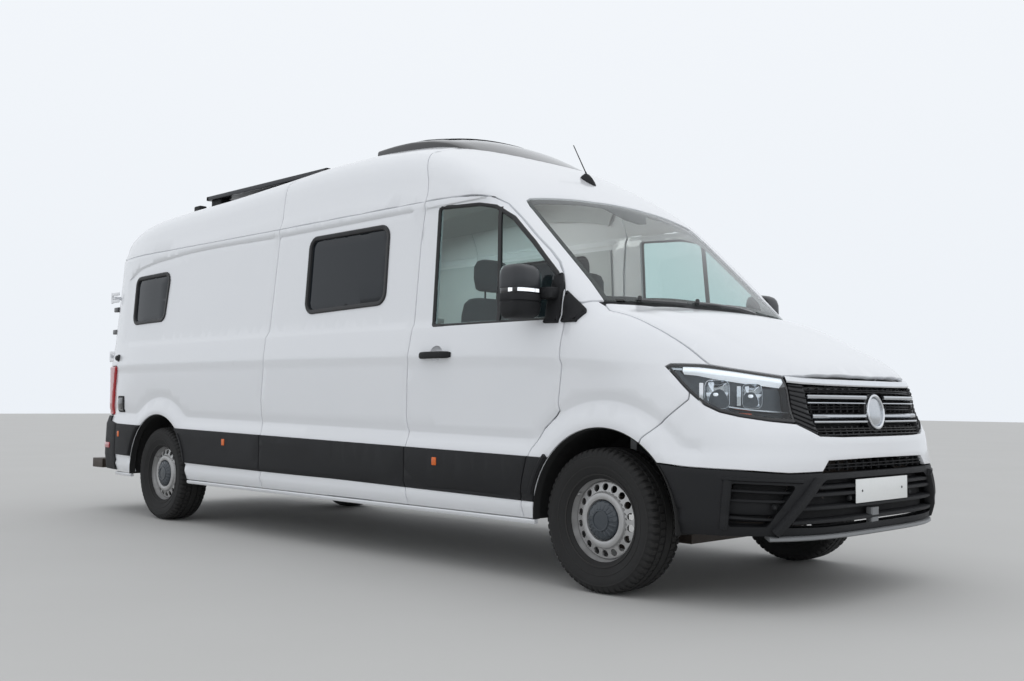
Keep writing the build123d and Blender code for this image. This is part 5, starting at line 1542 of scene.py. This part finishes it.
arm = bulged(((1.462, -.375, -.262, -1.045, -.955, 3), (1.468, -.382, -.256, -1.05, -.95, 3.4),
              (1.512, -.382, -.256, -1.05, -.95, 3.4), (1.520, -.374, -.264, -1.045, -.955, 3)))
glasses = [slab(-.4905, -.480, -1.168, -1.064, 1.462, 1.612, .004),
           slab(-.4905, -.480, -1.168, -1.064, 1.384, 1.436, .004)]
SAIL_DOOR = ((-.245, 1.335), (-.352, 1.338), (-.345, 1.43), (-.300, 1.590), (-.272, 1.600), (-.238, 1.530))
SAIL_BODY = ((-.228, 1.337), (-.228, 1.512), (-.104, 1.402), (-.098, 1.385), (-.131, 1.336))
for name, outline, rides in (("sail_door", SAIL_DOOR, "door_"), ("sail_corner", SAIL_BODY, "chassis")):
    piece = panel(name + "_right", on_side, rounded(outline, .008, 4), black_grain, on_body(rides, "right"),
                  "black_plastic", thick=.03, proud=.016, soft=.010, gap=.001, step=.06)
    other_side(piece, name + "_left", on_body(rides, "left"))
for name, part, material, slot in (("mirror_upper", upper, cap_satin, "black_plastic"),
                                   ("mirror_band", band, gloss_black, "black_plastic"),
                                   ("mirror_lower", merged([lower, arm]), black_grain, "black_plastic"),
                                   ("mirror_turn_lamp", merged(turn_lamp), guide_white, "lamp_lens"),
                                   ("mirror_glass", merged(glasses), mirror_face, "clear_glass")):
    for side, shape in (("right", part), ("left", flipped(part))):
        make(name + "_" + side, *shape, material, "door_" + side, slot, ("mirror_" + side,), sharp=50)


# ---- door handles --------------------------------------------------------------------------------
# Pull bars of grained black plastic, each bridging a smooth cup pressed into the door skin. The
# sliding door on the left has the same bar, and runs on a rail let into the panel behind it.
def dish(lay, outline, rows):
    """A pressed hollow; rows are the share of the outline's size and the depth below the skin."""
    middle, points, n = outline.mean(0), [], len(outline)
    for share, deep in rows:
        at = lay(middle + (outline - middle) * share)
        points.append(at - deep * outward(at))
    faces = [(r * n + i, r * n + (i + 1) % n, (r + 1) * n + (i + 1) % n, (r + 1) * n + i)
             for r in range(len(rows) - 1) for i in range(n)]
    return np.concatenate(points), faces + [tuple((len(rows) - 1) * n + i for i in range(n))]


cup = dish(on_side, HANDLE_CUP,
           ((1.02, .006), (.97, .006), (.90, .013), (.76, .020), (.52, .025), (.25, .027)))
HANDLE_ROWS = ((.134, .010, -.004, .006), (.128, .015, -.004, .014), (.111, .019, -.002, .026),
               (.081, .020, .004, .036), (.040, .020, .013, .040), (0, .020, .015, .041))
HANDLE_Z = 1.194


def pull_bar(middle):
    rows = []
    for reach, tall, low, high in HANDLE_ROWS + tuple((-r, *rest) for r, *rest in HANDLE_ROWS[-2::-1]):
        skin = float(on_side(np.array([(middle + reach, HANDLE_Z)]))[0][1])
        rows.append((middle + reach, HANDLE_Z - tall, HANDLE_Z + tall, skin - high, skin - low, 3))
    points, faces = bulged(rows)
    return points[:, [2, 1, 0]], faces


door_bar, slide_bar = pull_bar(-1.184), flipped(pull_bar(-1.640))
for side, bar, hollow in (("right", door_bar, cup), ("left", flipped(door_bar), flipped(cup))):
    make("handle_bar_" + side, *bar, black_grain, "door_" + side, "black_plastic")
    make("handle_cup_" + side, *hollow, white_paint, "door_" + side, "white_paint")
make("slide_handle", *slide_bar, black_grain, "chassis", "black_plastic")
rail = strip(on_side, line_between((-3.06, 1.245), (-4.40, 1.245), .1),
             [(-.020, -.01), (-.018, .004), (-.005, .006), (-.003, .001), (.003, .001), (.005, .006),
              (.018, .004), (.020, -.01)])
make("slide_rail", *flipped(rail), gloss_black, "chassis", "black_plastic")


# ---- rear end ------------------------------------------------------------------------------------
# Two pressed doors hang on painted hinges and close on a rubber seal in the frame. Tall red lamps wrap
# the corners above black plastic caps, and a folded steel step hangs behind the plain bumper.
lens_red = finish("lens_red", (.50, .010, .018), .14, (.33, .005, .010), patch=5, grain=.03, coat=.5)

half_opening = [(0, .61)] + [(-y, z) for y, z in REAR_EDGE[1:]]
REAR_DOOR_WINDOW = rounded(((-.120, 1.480), (-.120, 1.960), (-.690, 1.960), (-.730, 1.480)), .05)
panel("rear_skin_right", on_back, half_opening, white_paint, "rear_door_right", "white_paint", thick=.035,
      holes=[REAR_DOOR_WINDOW], replaces=("rear_door_right",), step=.06)
other_side(bpy.data.objects["rear_skin_right"], "rear_skin_left", "rear_door_left", ("rear_door_left",))
framed_window("back_window", REAR_DOOR_WINDOW, privacy, "tinted_glass", ("rear_door_right", "rear_door_left"),
              (("rear_glass_right",), ("rear_glass_left",)), band=.018, proud=.005, lay=on_back)
RIB = [(-.026, -.004), (-.016, .005), (.016, .005), (.026, -.004)]
ribs = [strip(on_back, line_between(start, end, .06), RIB) for start, end in
        (((-.82, 1.19), (-.06, 1.19)), ((-.82, 1.36), (-.06, 1.36)), ((-.80, .70), (-.06, .70)),
         ((-.72, 2.06), (-.06, 2.06)))]
for side, shape in (("right", merged(ribs)), ("left", flipped(merged(ribs)))):
    make("rear_ribs_" + side, *shape, white_paint, "rear_door_" + side, "white_paint")

opening = walk(whole(half_opening), .07, closed=True)
jamb = strip(on_back, inset(opening, .048), [(-.052, -.048), (-.052, -.090), (.052, -.090), (.052, -.048)],
             closed=True)
make("rear_jamb", *jamb, white_paint, "chassis", "white_paint", ("rear_frame",))
make("rear_seal",
     *strip(on_back, inset(opening, .062), [(-.009, -.047), (-.007, -.037), (.007, -.037), (.009, -.047)],
                         closed=True), window_rubber, "chassis", "black_plastic")

lamp_back = float(rear_shut[1][0]) - .003
TAIL_LENS = np.array([(lamp_back, .795), *TAIL_LAMP, (lamp_back, 1.203)])
panel("tail_lens_right", on_tail, TAIL_LENS, lens_red, "chassis", "red_lens", thick=.05, gap=.002, proud=.016,
      soft=.012, replaces=("tail_lamps",), step=.03)
panel("tail_housing_right", on_tail, TAIL_LENS, deep_black, "chassis", "black_plastic", thick=.05, gap=-.004,
      proud=-.001, soft=.003, step=.06)
cap = [(5.245, .348), (5.245, .7312), (5.37, .742), (5.42, .752), (5.452, .790), (lamp_back, .790),
       (lamp_back, .348)]
panel("corner_cap_right", on_tail, cap, black_grain, "chassis", "black_plastic", thick=.03, gap=.002,
      proud=.013, soft=.008, replaces=("rear_bumper",), step=.05)
reflector = rounded(((5.395, .523), (5.525, .523), (5.525, .569), (5.395, .569)), .006, 4)
panel("corner_reflector_right", on_tail, reflector, lens_red, "chassis", "red_lens", thick=.01, gap=0,
      proud=.018, soft=.004, step=.04)
for name, slot_nodes in (("tail_lens", ("tail_lamps",)), ("tail_housing", ()),
                         ("corner_cap", ("rear_bumper",)), ("corner_reflector", ())):
    other_side(bpy.data.objects[name + "_right"], name + "_left", "chassis", slot_nodes)
panel("bumper_beam", on_back, rounded(((-.855, .43), (.855, .43), (.855, .604), (-.855, .604)), .02, 4),
      black_grain, "chassis", "black_plastic", thick=.06, gap=0, proud=.028, soft=.016,
      replaces=("rear_bumper",), step=.08)

REAR_HINGES = (.72, 1.29, 1.79)
HINGE_AT = (-5.566, .896)
fixed, hung = [], []
for z in REAR_HINGES:
    face = float(rear_x(np.array([z]))[0])
    pin = [(0, .046), (.006, .046), (.010, .043), (.0105, .016), (.0105, .0150), (0, .0150)]
    for sign in (1, -1):
        fixed.append(turned([(r, sign * h) for r, h in pin], (HINGE_AT[0], HINGE_AT[1], z), "Z", 20))
        fixed.append(slab(HINGE_AT[0] + .002, face + .10, .894, .906,
                          *sorted((z + sign * .017, z + sign * .043)), .003))
    hung.append(turned([(0, .0135), (.0105, .0135), (.0105, -.0135), (0, -.0135)],
                       (HINGE_AT[0], HINGE_AT[1], z), "Z", 20))
    hung.append(slab(HINGE_AT[0] - .010, face + .006, .79, HINGE_AT[1], z - .0125, z + .0125, .003))
stops = [slab(float(rear_x(np.array([z]))[0]) - .034, -5.49, .845, .878, z - .021, z + .021, .008, 3)
         for z in (1.50, 1.69)]
side_at = on_side(np.array([(-5.268, 1.268)]))[0]
buffer = turned([(0, .030), (.014, .030), (.021, .025), (.023, .012), (.029, .008), (.031, -.01)],
                (side_at[0], -side_at[1], side_at[2]), "Y", 28)
make("hinge_posts", *mirrored(*fixed), white_paint, "chassis", "white_paint")
make("door_buffers", *mirrored(buffer), window_rubber, "chassis", "black_plastic")
for side, mirror in (("left", tuple), ("right", flipped)):
    make("hinge_straps_" + side, *mirror(merged(hung)), white_paint, "rear_door_" + side, "white_paint")
    make("door_stops_" + side, *mirror(merged(stops)), gloss_black, "rear_door_" + side, "black_plastic")
handle = merged([slab(-5.612, -5.596, -.20, -.05, 1.085, 1.118, .007, 3),
                 slab(-5.600, -5.560, -.072, -.05, 1.085, 1.118, .005),
                 slab(-5.600, -5.560, -.20, -.178, 1.085, 1.118, .005)])
make("rear_handle", *handle, black_grain, "rear_door_right", "black_plastic")
make("rear_plate", *slab(-5.588, -5.574, .17, .69, .83, .941, .002), plate_white, "rear_door_left",
     "plate_white")
make("plate_light", *slab(-5.606, -5.560, .28, .58, .955, .985, .008, 3), black_grain, "rear_door_left",
     "black_plastic")
make("high_brake_lamp",
     *strip(on_top, line_between((-5.375, -.14), (-5.375, .14)), [(-.022, -.004), (-.016, .008),
     (.014, .008), (.022, -.004)]), lens_red, "chassis", "red_lens")

STEP_BACK, STEP_FRONT, STEP_HALF = -5.797, -5.606, .925
STEP_FOOT, STEP_TOP = .346, .4235
step_parts = [slab(STEP_BACK, STEP_FRONT, -STEP_HALF, STEP_HALF, STEP_TOP - .0155, STEP_TOP, .004)]
step_parts += [slab(x, x + .012, -STEP_HALF, STEP_HALF, STEP_FOOT, .415, .004)
               for x in (STEP_BACK, STEP_FRONT - .012)]
step_parts += [slab(STEP_BACK, STEP_FRONT, y, y + .012, STEP_FOOT, .415, .004)
               for y in (-STEP_HALF, STEP_HALF - .012)]
step_parts += [slab(x, x + .007, -.80, .80, .4225, .4250, .001, 1) for x in np.arange(-5.780, -5.62, .018)]
step_parts += [slab(-5.66, -5.35, y - .03, y + .03, .426, .438, .002) for y in (-.5, .5)]
step_parts += [slab(-5.66, -5.615, y - .03, y + .03, .405, .436, .002) for y in (-.5, .5)]
make("folded_step", *merged(step_parts), chassis_black, "chassis", "dark_steel", ("rear_step",))


# ---- roof fittings -------------------------------------------------------------------------------
# A glazed solar panel on four pads with its cable gland behind it, and a long low roof light in a
# glossy black moulding that tapers down to the roof. A short aerial leans back from a black foot.
solar_cell = finish("solar_cell", (.010, .014, .035), .12, (.016, .022, .050), patch=30, grain=.05, coat=.6)
anodised = finish("anodised_black", (.030, .031, .034), .32, (.045, .046, .050), patch=16, metal=.6,
                  grain=.08)
x0, x1, y0, y1 = -4.81, -3.08, -.45, .45
SOLAR_FOOT, SOLAR_TOP = 2.598, 2.630
solar_frame = [slab(x0, x1, y, y + .030, SOLAR_FOOT, SOLAR_TOP, .002) for y in (y0, y1 - .030)]
solar_frame += [slab(x, x + .030, y0, y1, SOLAR_FOOT, SOLAR_TOP, .002) for x in (x0, x1 - .030)]
solar_frame += [slab(x0 + .01, x1 - .01, y0 + .01, y1 - .01, 2.606, 2.6225, 0)]
pads = []
for x in (-4.70, -3.19):
    for y in (-.37, .37):
        foot = float(cab_z(np.array([x]), y)[0])
        pads.append(slab(x - .075, x + .075, y - .055, y + .055, foot - .012, 2.604, .012, 3))
gland = float(cab_z(np.array([-4.92]), .44)[0])
pads.append(slab(-4.975, -4.875, -.475, -.405, gland - .02, 2.566, .012, 3))
CELLS = (10, 5)
wide, deep = (x1 - x0 - .07) / CELLS[0], (y1 - y0 - .07) / CELLS[1]
cells = []
for i in range(CELLS[0]):
    for j in range(CELLS[1]):
        cx, cy = x0 + .035 + wide * (i + .5), y0 + .035 + deep * (j + .5)
        cells.append(slab(cx - wide / 2 + .003, cx + wide / 2 - .003, cy - deep / 2 + .003,
                          cy + deep / 2 - .003, 2.620, 2.6245, .0008, 1))
make("solar_frame", *merged(solar_frame), anodised, "chassis", "black_plastic", ("solar_panel",))
make("solar_cells", *merged(cells), solar_cell, "chassis", "solar_glass", ("solar_panel",))
make("solar_pads", *merged(pads), black_grain, "chassis", "black_plastic", ("solar_panel",))

LIGHT_BACK = -2.33
LIGHT_HALF = .55
LIGHT_HEIGHT = ((0, .050), (.2, .060), (.4, .066), (.6, .058), (.8, .036), (.93, .014), (1, .001))


def roof_light(half, start, end, lift, sides):
    """A low hump on the roof: half width, shares of its length, extra height, and rows at its edges."""
    across = [(-half - out, cut) for out, cut in sides] + [(y, 0) for y in np.linspace(-half, half, 15)[1:-1]]
    across += [(half + out, cut) for out, cut in sides[::-1]]
    points, n = [], len(across)
    shares = np.linspace(start, end, 26)
    for share in shares:
        for y, cut in across:
            tip = -1.20 - .26 * (abs(y) / LIGHT_HALF) ** 2.4
            x = LIGHT_BACK + share * (tip - LIGHT_BACK)
            high = float(np.interp(share, *zip(*LIGHT_HEIGHT))) * (1 - .25 * (y / LIGHT_HALF) ** 2)
            points.append((x, y,
                           float(cab_z(np.array([x]), y)[0]) + (high + lift - cut if cut < .5 else -.012)))
    faces = [(i * n + j, i * n + j + 1, (i + 1) * n + j + 1, (i + 1) * n + j) for i in range(len(shares) - 1)
             for j in range(n - 1)]
    return points, faces + [tuple(range(n)), tuple(range(len(points) - 1, len(points) - n - 1, -1))]


make("roof_light_case", *roof_light(LIGHT_HALF, 0, 1, 0, [(.012, 1), (.008, .012), (.004, .004), (0, 0)]),
     gloss_black, "chassis", "black_plastic", ("roof_light",))
make("roof_light_pane", *roof_light(LIGHT_HALF - .10, .10, .62, .005, [(.003, 1), (.002, .003), (0, 0)]),
     privacy, "chassis", "tinted_glass", ("roof_light",))

AERIAL_FOOT = np.array((-.930, 0, float(cab_z(np.array([-.930]), 0)[0]) + .002))
fin = bulged(((-.02, -.068, .068, -.030, .030, 2.4), (.004, -.066, .064, -.028, .028, 2.4),
              (.016, -.060, .045, -.022, .022, 2.4),
              (.030, -.052, .015, -.013, .013, 2.2), (.036, -.046, -.010, -.008, .008, 2)))
fin = leaned((fin[0] + AERIAL_FOOT, fin[1]), math.radians(-32), AERIAL_FOOT)
rod_foot, rod_tip = AERIAL_FOOT + (-.005, 0, .028), np.array((-1.056, 0, 2.548))
rod_length = float(np.linalg.norm(rod_tip - rod_foot))
rod = turned([(0, 0), (.0055, 0), (.0050, .03), (.0036, .05), (.0030, rod_length - .004),
              (.0015, rod_length), (0, rod_length)],
             rod_foot, "Z", 14)
back = math.atan2(rod_foot[0] - rod_tip[0], rod_tip[2] - rod_foot[2])
make("aerial", *merged([fin, leaned(rod, back, rod_foot)]), black_grain, "chassis", "black_plastic")


# ---- cab and living space ------------------------------------------------------------------------
# Padded cab seats, a moulded dashboard and a rimmed wheel; oak-faced kitchen and a mattress on a
# slatted frame at the back. Felt linings cover the walls and roof, and a wood-effect sheet the floor.
seat_cloth = finish("seat_cloth", (.055, .060, .066), .9, (.075, .080, .088), patch=5, grain=.8,
                    grain_size=800)
mattress_cloth = finish("mattress_cloth", (.42, .42, .40), .95, (.50, .49, .46), patch=4, grain=.8,
                        grain_size=700)
oak = finish("oak", (.42, .27, .14), .45, (.52, .36, .20), patch=9, grain=.25, grain_size=90)
lining_felt = finish("lining_felt", (.50, .52, .53), .95, (.56, .58, .58), patch=6, grain=.6, grain_size=500)
worktop = finish("worktop", (.62, .61, .58), .3, (.52, .51, .49), patch=35, grain=.1, grain_size=300)
floor_sheet = finish("floor_sheet", (.30, .25, .19), .5, (.36, .30, .23), patch=10, grain=.25, grain_size=150)
dash_grain = finish("dash_grain", (.035, .037, .040), .6, (.045, .047, .050), patch=8, grain=.6,
                    grain_size=600)

for side, y in (("right", -.45), ("left", .45)):
    cushion = bulged(((.790, -1.27, -.90, y - .20, y + .20, 5), (.800, -1.31, -.865, y - .235, y + .235, 5),
                      (.850, -1.33, -.850, y - .245, y + .245, 5),
                      (.895, -1.325, -.852, y - .243, y + .243, 4.5),
                      (.920, -1.30, -.870, y - .225, y + .225, 4),
                      (.936, -1.24, -.920, y - .17, y + .17, 3.4), (.941, -1.18, -.98, y - .11, y + .11, 3)))
    rest = bulged(((.935, -1.365, -1.275, y - .20, y + .20, 3.6),
                   (.950, -1.375, -1.262, y - .225, y + .225, 3.6),
                   (1.10, -1.380, -1.252, y - .235, y + .235, 3.4),
                   (1.30, -1.380, -1.260, y - .232, y + .232, 3.4),
                   (1.45, -1.378, -1.266, y - .222, y + .222, 3.4),
                   (1.52, -1.372, -1.272, y - .205, y + .205, 3.2),
                   (1.550, -1.360, -1.285, y - .17, y + .17, 3),
                   (1.560, -1.345, -1.30, y - .12, y + .12, 2.6)))
    head = bulged(((1.605, -1.352, -1.288, y - .09, y + .09, 3),
                   (1.615, -1.362, -1.278, y - .115, y + .115, 3),
                   (1.680, -1.370, -1.270, y - .130, y + .130, 3),
                   (1.750, -1.368, -1.272, y - .128, y + .128, 3),
                   (1.785, -1.358, -1.282, y - .108, y + .108, 2.8),
                   (1.798, -1.340, -1.30, y - .07, y + .07, 2.4)))
    for name, part in (("seat_cushion_", cushion), ("seat_back_", rest), ("headrest_", head)):
        make(name + side, *part, seat_cloth, "chassis", "seat_fabric", ("cab_seats",), sharp=60)
    post = [turned([(0, -.03), (.006, -.03), (.006, .05), (0, .05)], (-1.32, y + dy, 1.565), "Z", 12)
            for dy in (-.05, .05)]
    base = [slab(-1.29, -.90, y - .19, y + .19, .562, .70, .02, 3),
            slab(-1.31, -.88, y - .21, y - .17, .69, .795, .01),
            slab(-1.31, -.88, y + .17, y + .21, .69, .795, .01)]
    make("seat_frame_" + side, *merged(post + base), black_grain, "chassis", "black_plastic", ("cab_seats",))


def prism(outline, y0, y1, soft=.006):
    """A moulding with one section across the vehicle, its ends and long edges eased."""
    outline = np.array(outline)
    rows = [(y0, -soft), (y0 + soft, 0), (y1 - soft, 0), (y1, -soft)]
    points = np.concatenate([np.insert(inset(outline, -grow), 1, y, axis=1) for y, grow in rows])
    n = len(outline)
    faces = [(r * n + i, r * n + (i + 1) % n, (r + 1) * n + (i + 1) % n, (r + 1) * n + i) for r in range(3)
             for i in range(n)]
    return points, faces + [tuple(range(n)), tuple(range(4 * n - 1, 3 * n - 1, -1))]


DASH = rounded(((-.045, 1.06), (-.045, 1.365), (-.14, 1.384), (-.36, 1.375), (-.50, 1.30), (-.515, 1.17),
                (-.43, 1.045), (-.25, 1.045)), .02, 4)
hood = rounded(((-.20, 1.37), (-.24, 1.43), (-.40, 1.435), (-.49, 1.40), (-.47, 1.34)), .012, 4)
vents = [slab(-.522, -.500, y - .055, y + .055, 1.215, 1.275, .006, 2) for y in (-.69, -.17, .17, .69)]
make("dash_moulding", *merged([prism(DASH, -.755, .755, .012), prism(hood, -.62, -.28, .01),
                               slab(-.640, -.50, -.50, -.40, 1.045, 1.11, .02, 3)]),
     dash_grain, "chassis", "black_plastic", ("dashboard",))
make("dash_vents", *merged(vents + [slab(-.532, -.505, -.12, .16, 1.19, 1.30, .006, 2)]), gloss_black,
     "chassis", "black_plastic")

WHEEL_AT = np.array((-.72, -.45, 1.21))
WHEEL_R = .178
tube = [(WHEEL_R + .0145 * math.cos(t), .0145 * math.sin(t)) for t in np.linspace(0, 2 * math.pi, 13)]
spokes = [slab(-.008, .006, -WHEEL_R + .004, WHEEL_R - .004, -.016, .018, .005, 2),
          slab(-.008, .006, -.02, .02, -WHEEL_R + .004, 0, .005, 2)]
hub = turned([(0, .020), (.035, .019), (.052, .012), (.060, 0), (.050, -.03), (.02, -.06), (.02, -.22),
              (0, -.22)], (0, 0, 0), "X", 40)
wheel = merged([turned(tube, (0, 0, 0), "X", 64), hub] + spokes)
tilted = leaned((np.array(wheel[0]) + WHEEL_AT, wheel[1]), math.radians(125), WHEEL_AT)
make("wheel_rim_and_hub", *tilted, dash_grain, "chassis", "black_plastic", ("steering_wheel",))

fronts = [slab(x + .004, x + .356, -.432, -.416, z0 + .004, z1 - .004, .003) for x in (-2.88, -2.52, -2.16)
          for z0, z1 in ((.66, 1.16), (1.16, 1.42))]
knobs = [slab(x + .15, x + .21, -.416, -.404, z, z + .010, .003) for x in (-2.88, -2.52, -2.16)
         for z in (1.10, 1.37)]
make("kitchen_cabinet", *merged([slab(-2.90, -1.80, -.870, -.432, .64, 1.43, .004)] + fronts), oak,
     "chassis", "cabinet_wood", ("kitchen_unit",))
make("kitchen_worktop", *merged([slab(-2.905, -1.795, -.872, -.410, 1.43, 1.468, .008, 3),
                                 slab(-2.88, -1.82, -.86, -.47, .562, .645, .004)]),
     worktop, "chassis", "cabinet_wood", ("kitchen_unit",))
tap = turned([(0, .20), (.010, .20), (.011, .17), (.011, .012), (.022, .008), (.024, 0)],
             (-2.12, -.80, 1.466), "Z", 24)
sink = turned([(.125, -.004), (.150, .006), (.158, .004), (.160, 0), (.150, -.012)], (-2.12, -.63, 1.466),
              "Z", 40)
make("kitchen_metal", *merged([tap, sink, slab(-2.13, -2.11, -.80, -.66, 1.640, 1.658, .006, 2)] + knobs),
     satin_chrome, "chassis", "wheel_steel")

bed_x = (-5.30, -3.72)
mattress = bulged(((1.085, bed_x[0] + .02, bed_x[1] - .02, -.82, .82, 14),
                   (1.095, bed_x[0], bed_x[1], -.845, .845, 14),
                   (1.165, bed_x[0], bed_x[1], -.845, .845, 14),
                   (1.185, bed_x[0] + .015, bed_x[1] - .015, -.83, .83, 12),
                   (1.196, bed_x[0] + .07, bed_x[1] - .07, -.78, .78, 9),
                   (1.200, bed_x[0] + .2, bed_x[1] - .2, -.65, .65, 6)), 96)
make("mattress", *mattress, mattress_cloth, "chassis", "seat_fabric", ("bed",), sharp=60)
bed_frame = [slab(bed_x[0], bed_x[1], y, y + .05, 1.015, 1.075, .004) for y in (-.845, .795)]
bed_frame += [slab(x, x + .05, -.80, .80, 1.015, 1.062, .004) for x in (bed_x[0], bed_x[1] - .05)]
bed_frame += [slab(x, x + .06, -.80, .80, 1.070, 1.086, .003)
              for x in np.arange(bed_x[0] + .05, bed_x[1] - .08, .145)]
bed_frame += [slab(x - .025, x + .025, y - .025, y + .025, .562, 1.02, .004) for x in (-5.26, -3.77)
              for y in (-.64, .64)]
make("bed_frame", *merged(bed_frame), oak, "chassis", "cabinet_wood", ("bed",))

wall = np.array([(-1.50, .58), (-1.50, 2.02), (-5.25, 2.02), (-5.25, .88), (-3.95, .88), (-3.95, .58)])
panel("wall_lining_right", on_side, wall, lining_felt, "chassis", "seat_fabric", thick=.006, proud=-.052,
      soft=.002, gap=0, holes=[MID_WINDOW, REAR_WINDOW], step=.15)
other_side(bpy.data.objects["wall_lining_right"], "wall_lining_left", "chassis")
ceiling = whole(paper_over(((-1.10, 0, 2.5), (-1.20, -.60, 2.4), (-1.50, -.86, 2.2), (-5.20, -.86, 2.2),
                            (-5.30, -.60, 2.35), (-5.32, 0, 2.4)), top_knee))
panel("roof_lining", on_top, ceiling, lining_felt, "chassis", "seat_fabric", thick=.006, proud=-.050,
      soft=.002, gap=0, step=.16)
make("floor_covering", *slab(-5.28, -.47, -.66, .66, .560, .5635, .001, 1), floor_sheet, "chassis",
     "floor_metal")

# A soft lamp under the roof stands for daylight that the dark windows keep out.
soft_light("cabin_light", (AXLE_X - 2.6, 0, 2.30), (AXLE_X - 2.4, 0, 1), (.8, 1.8), 22)
bpy.data.objects["cabin_light"].visible_camera = False
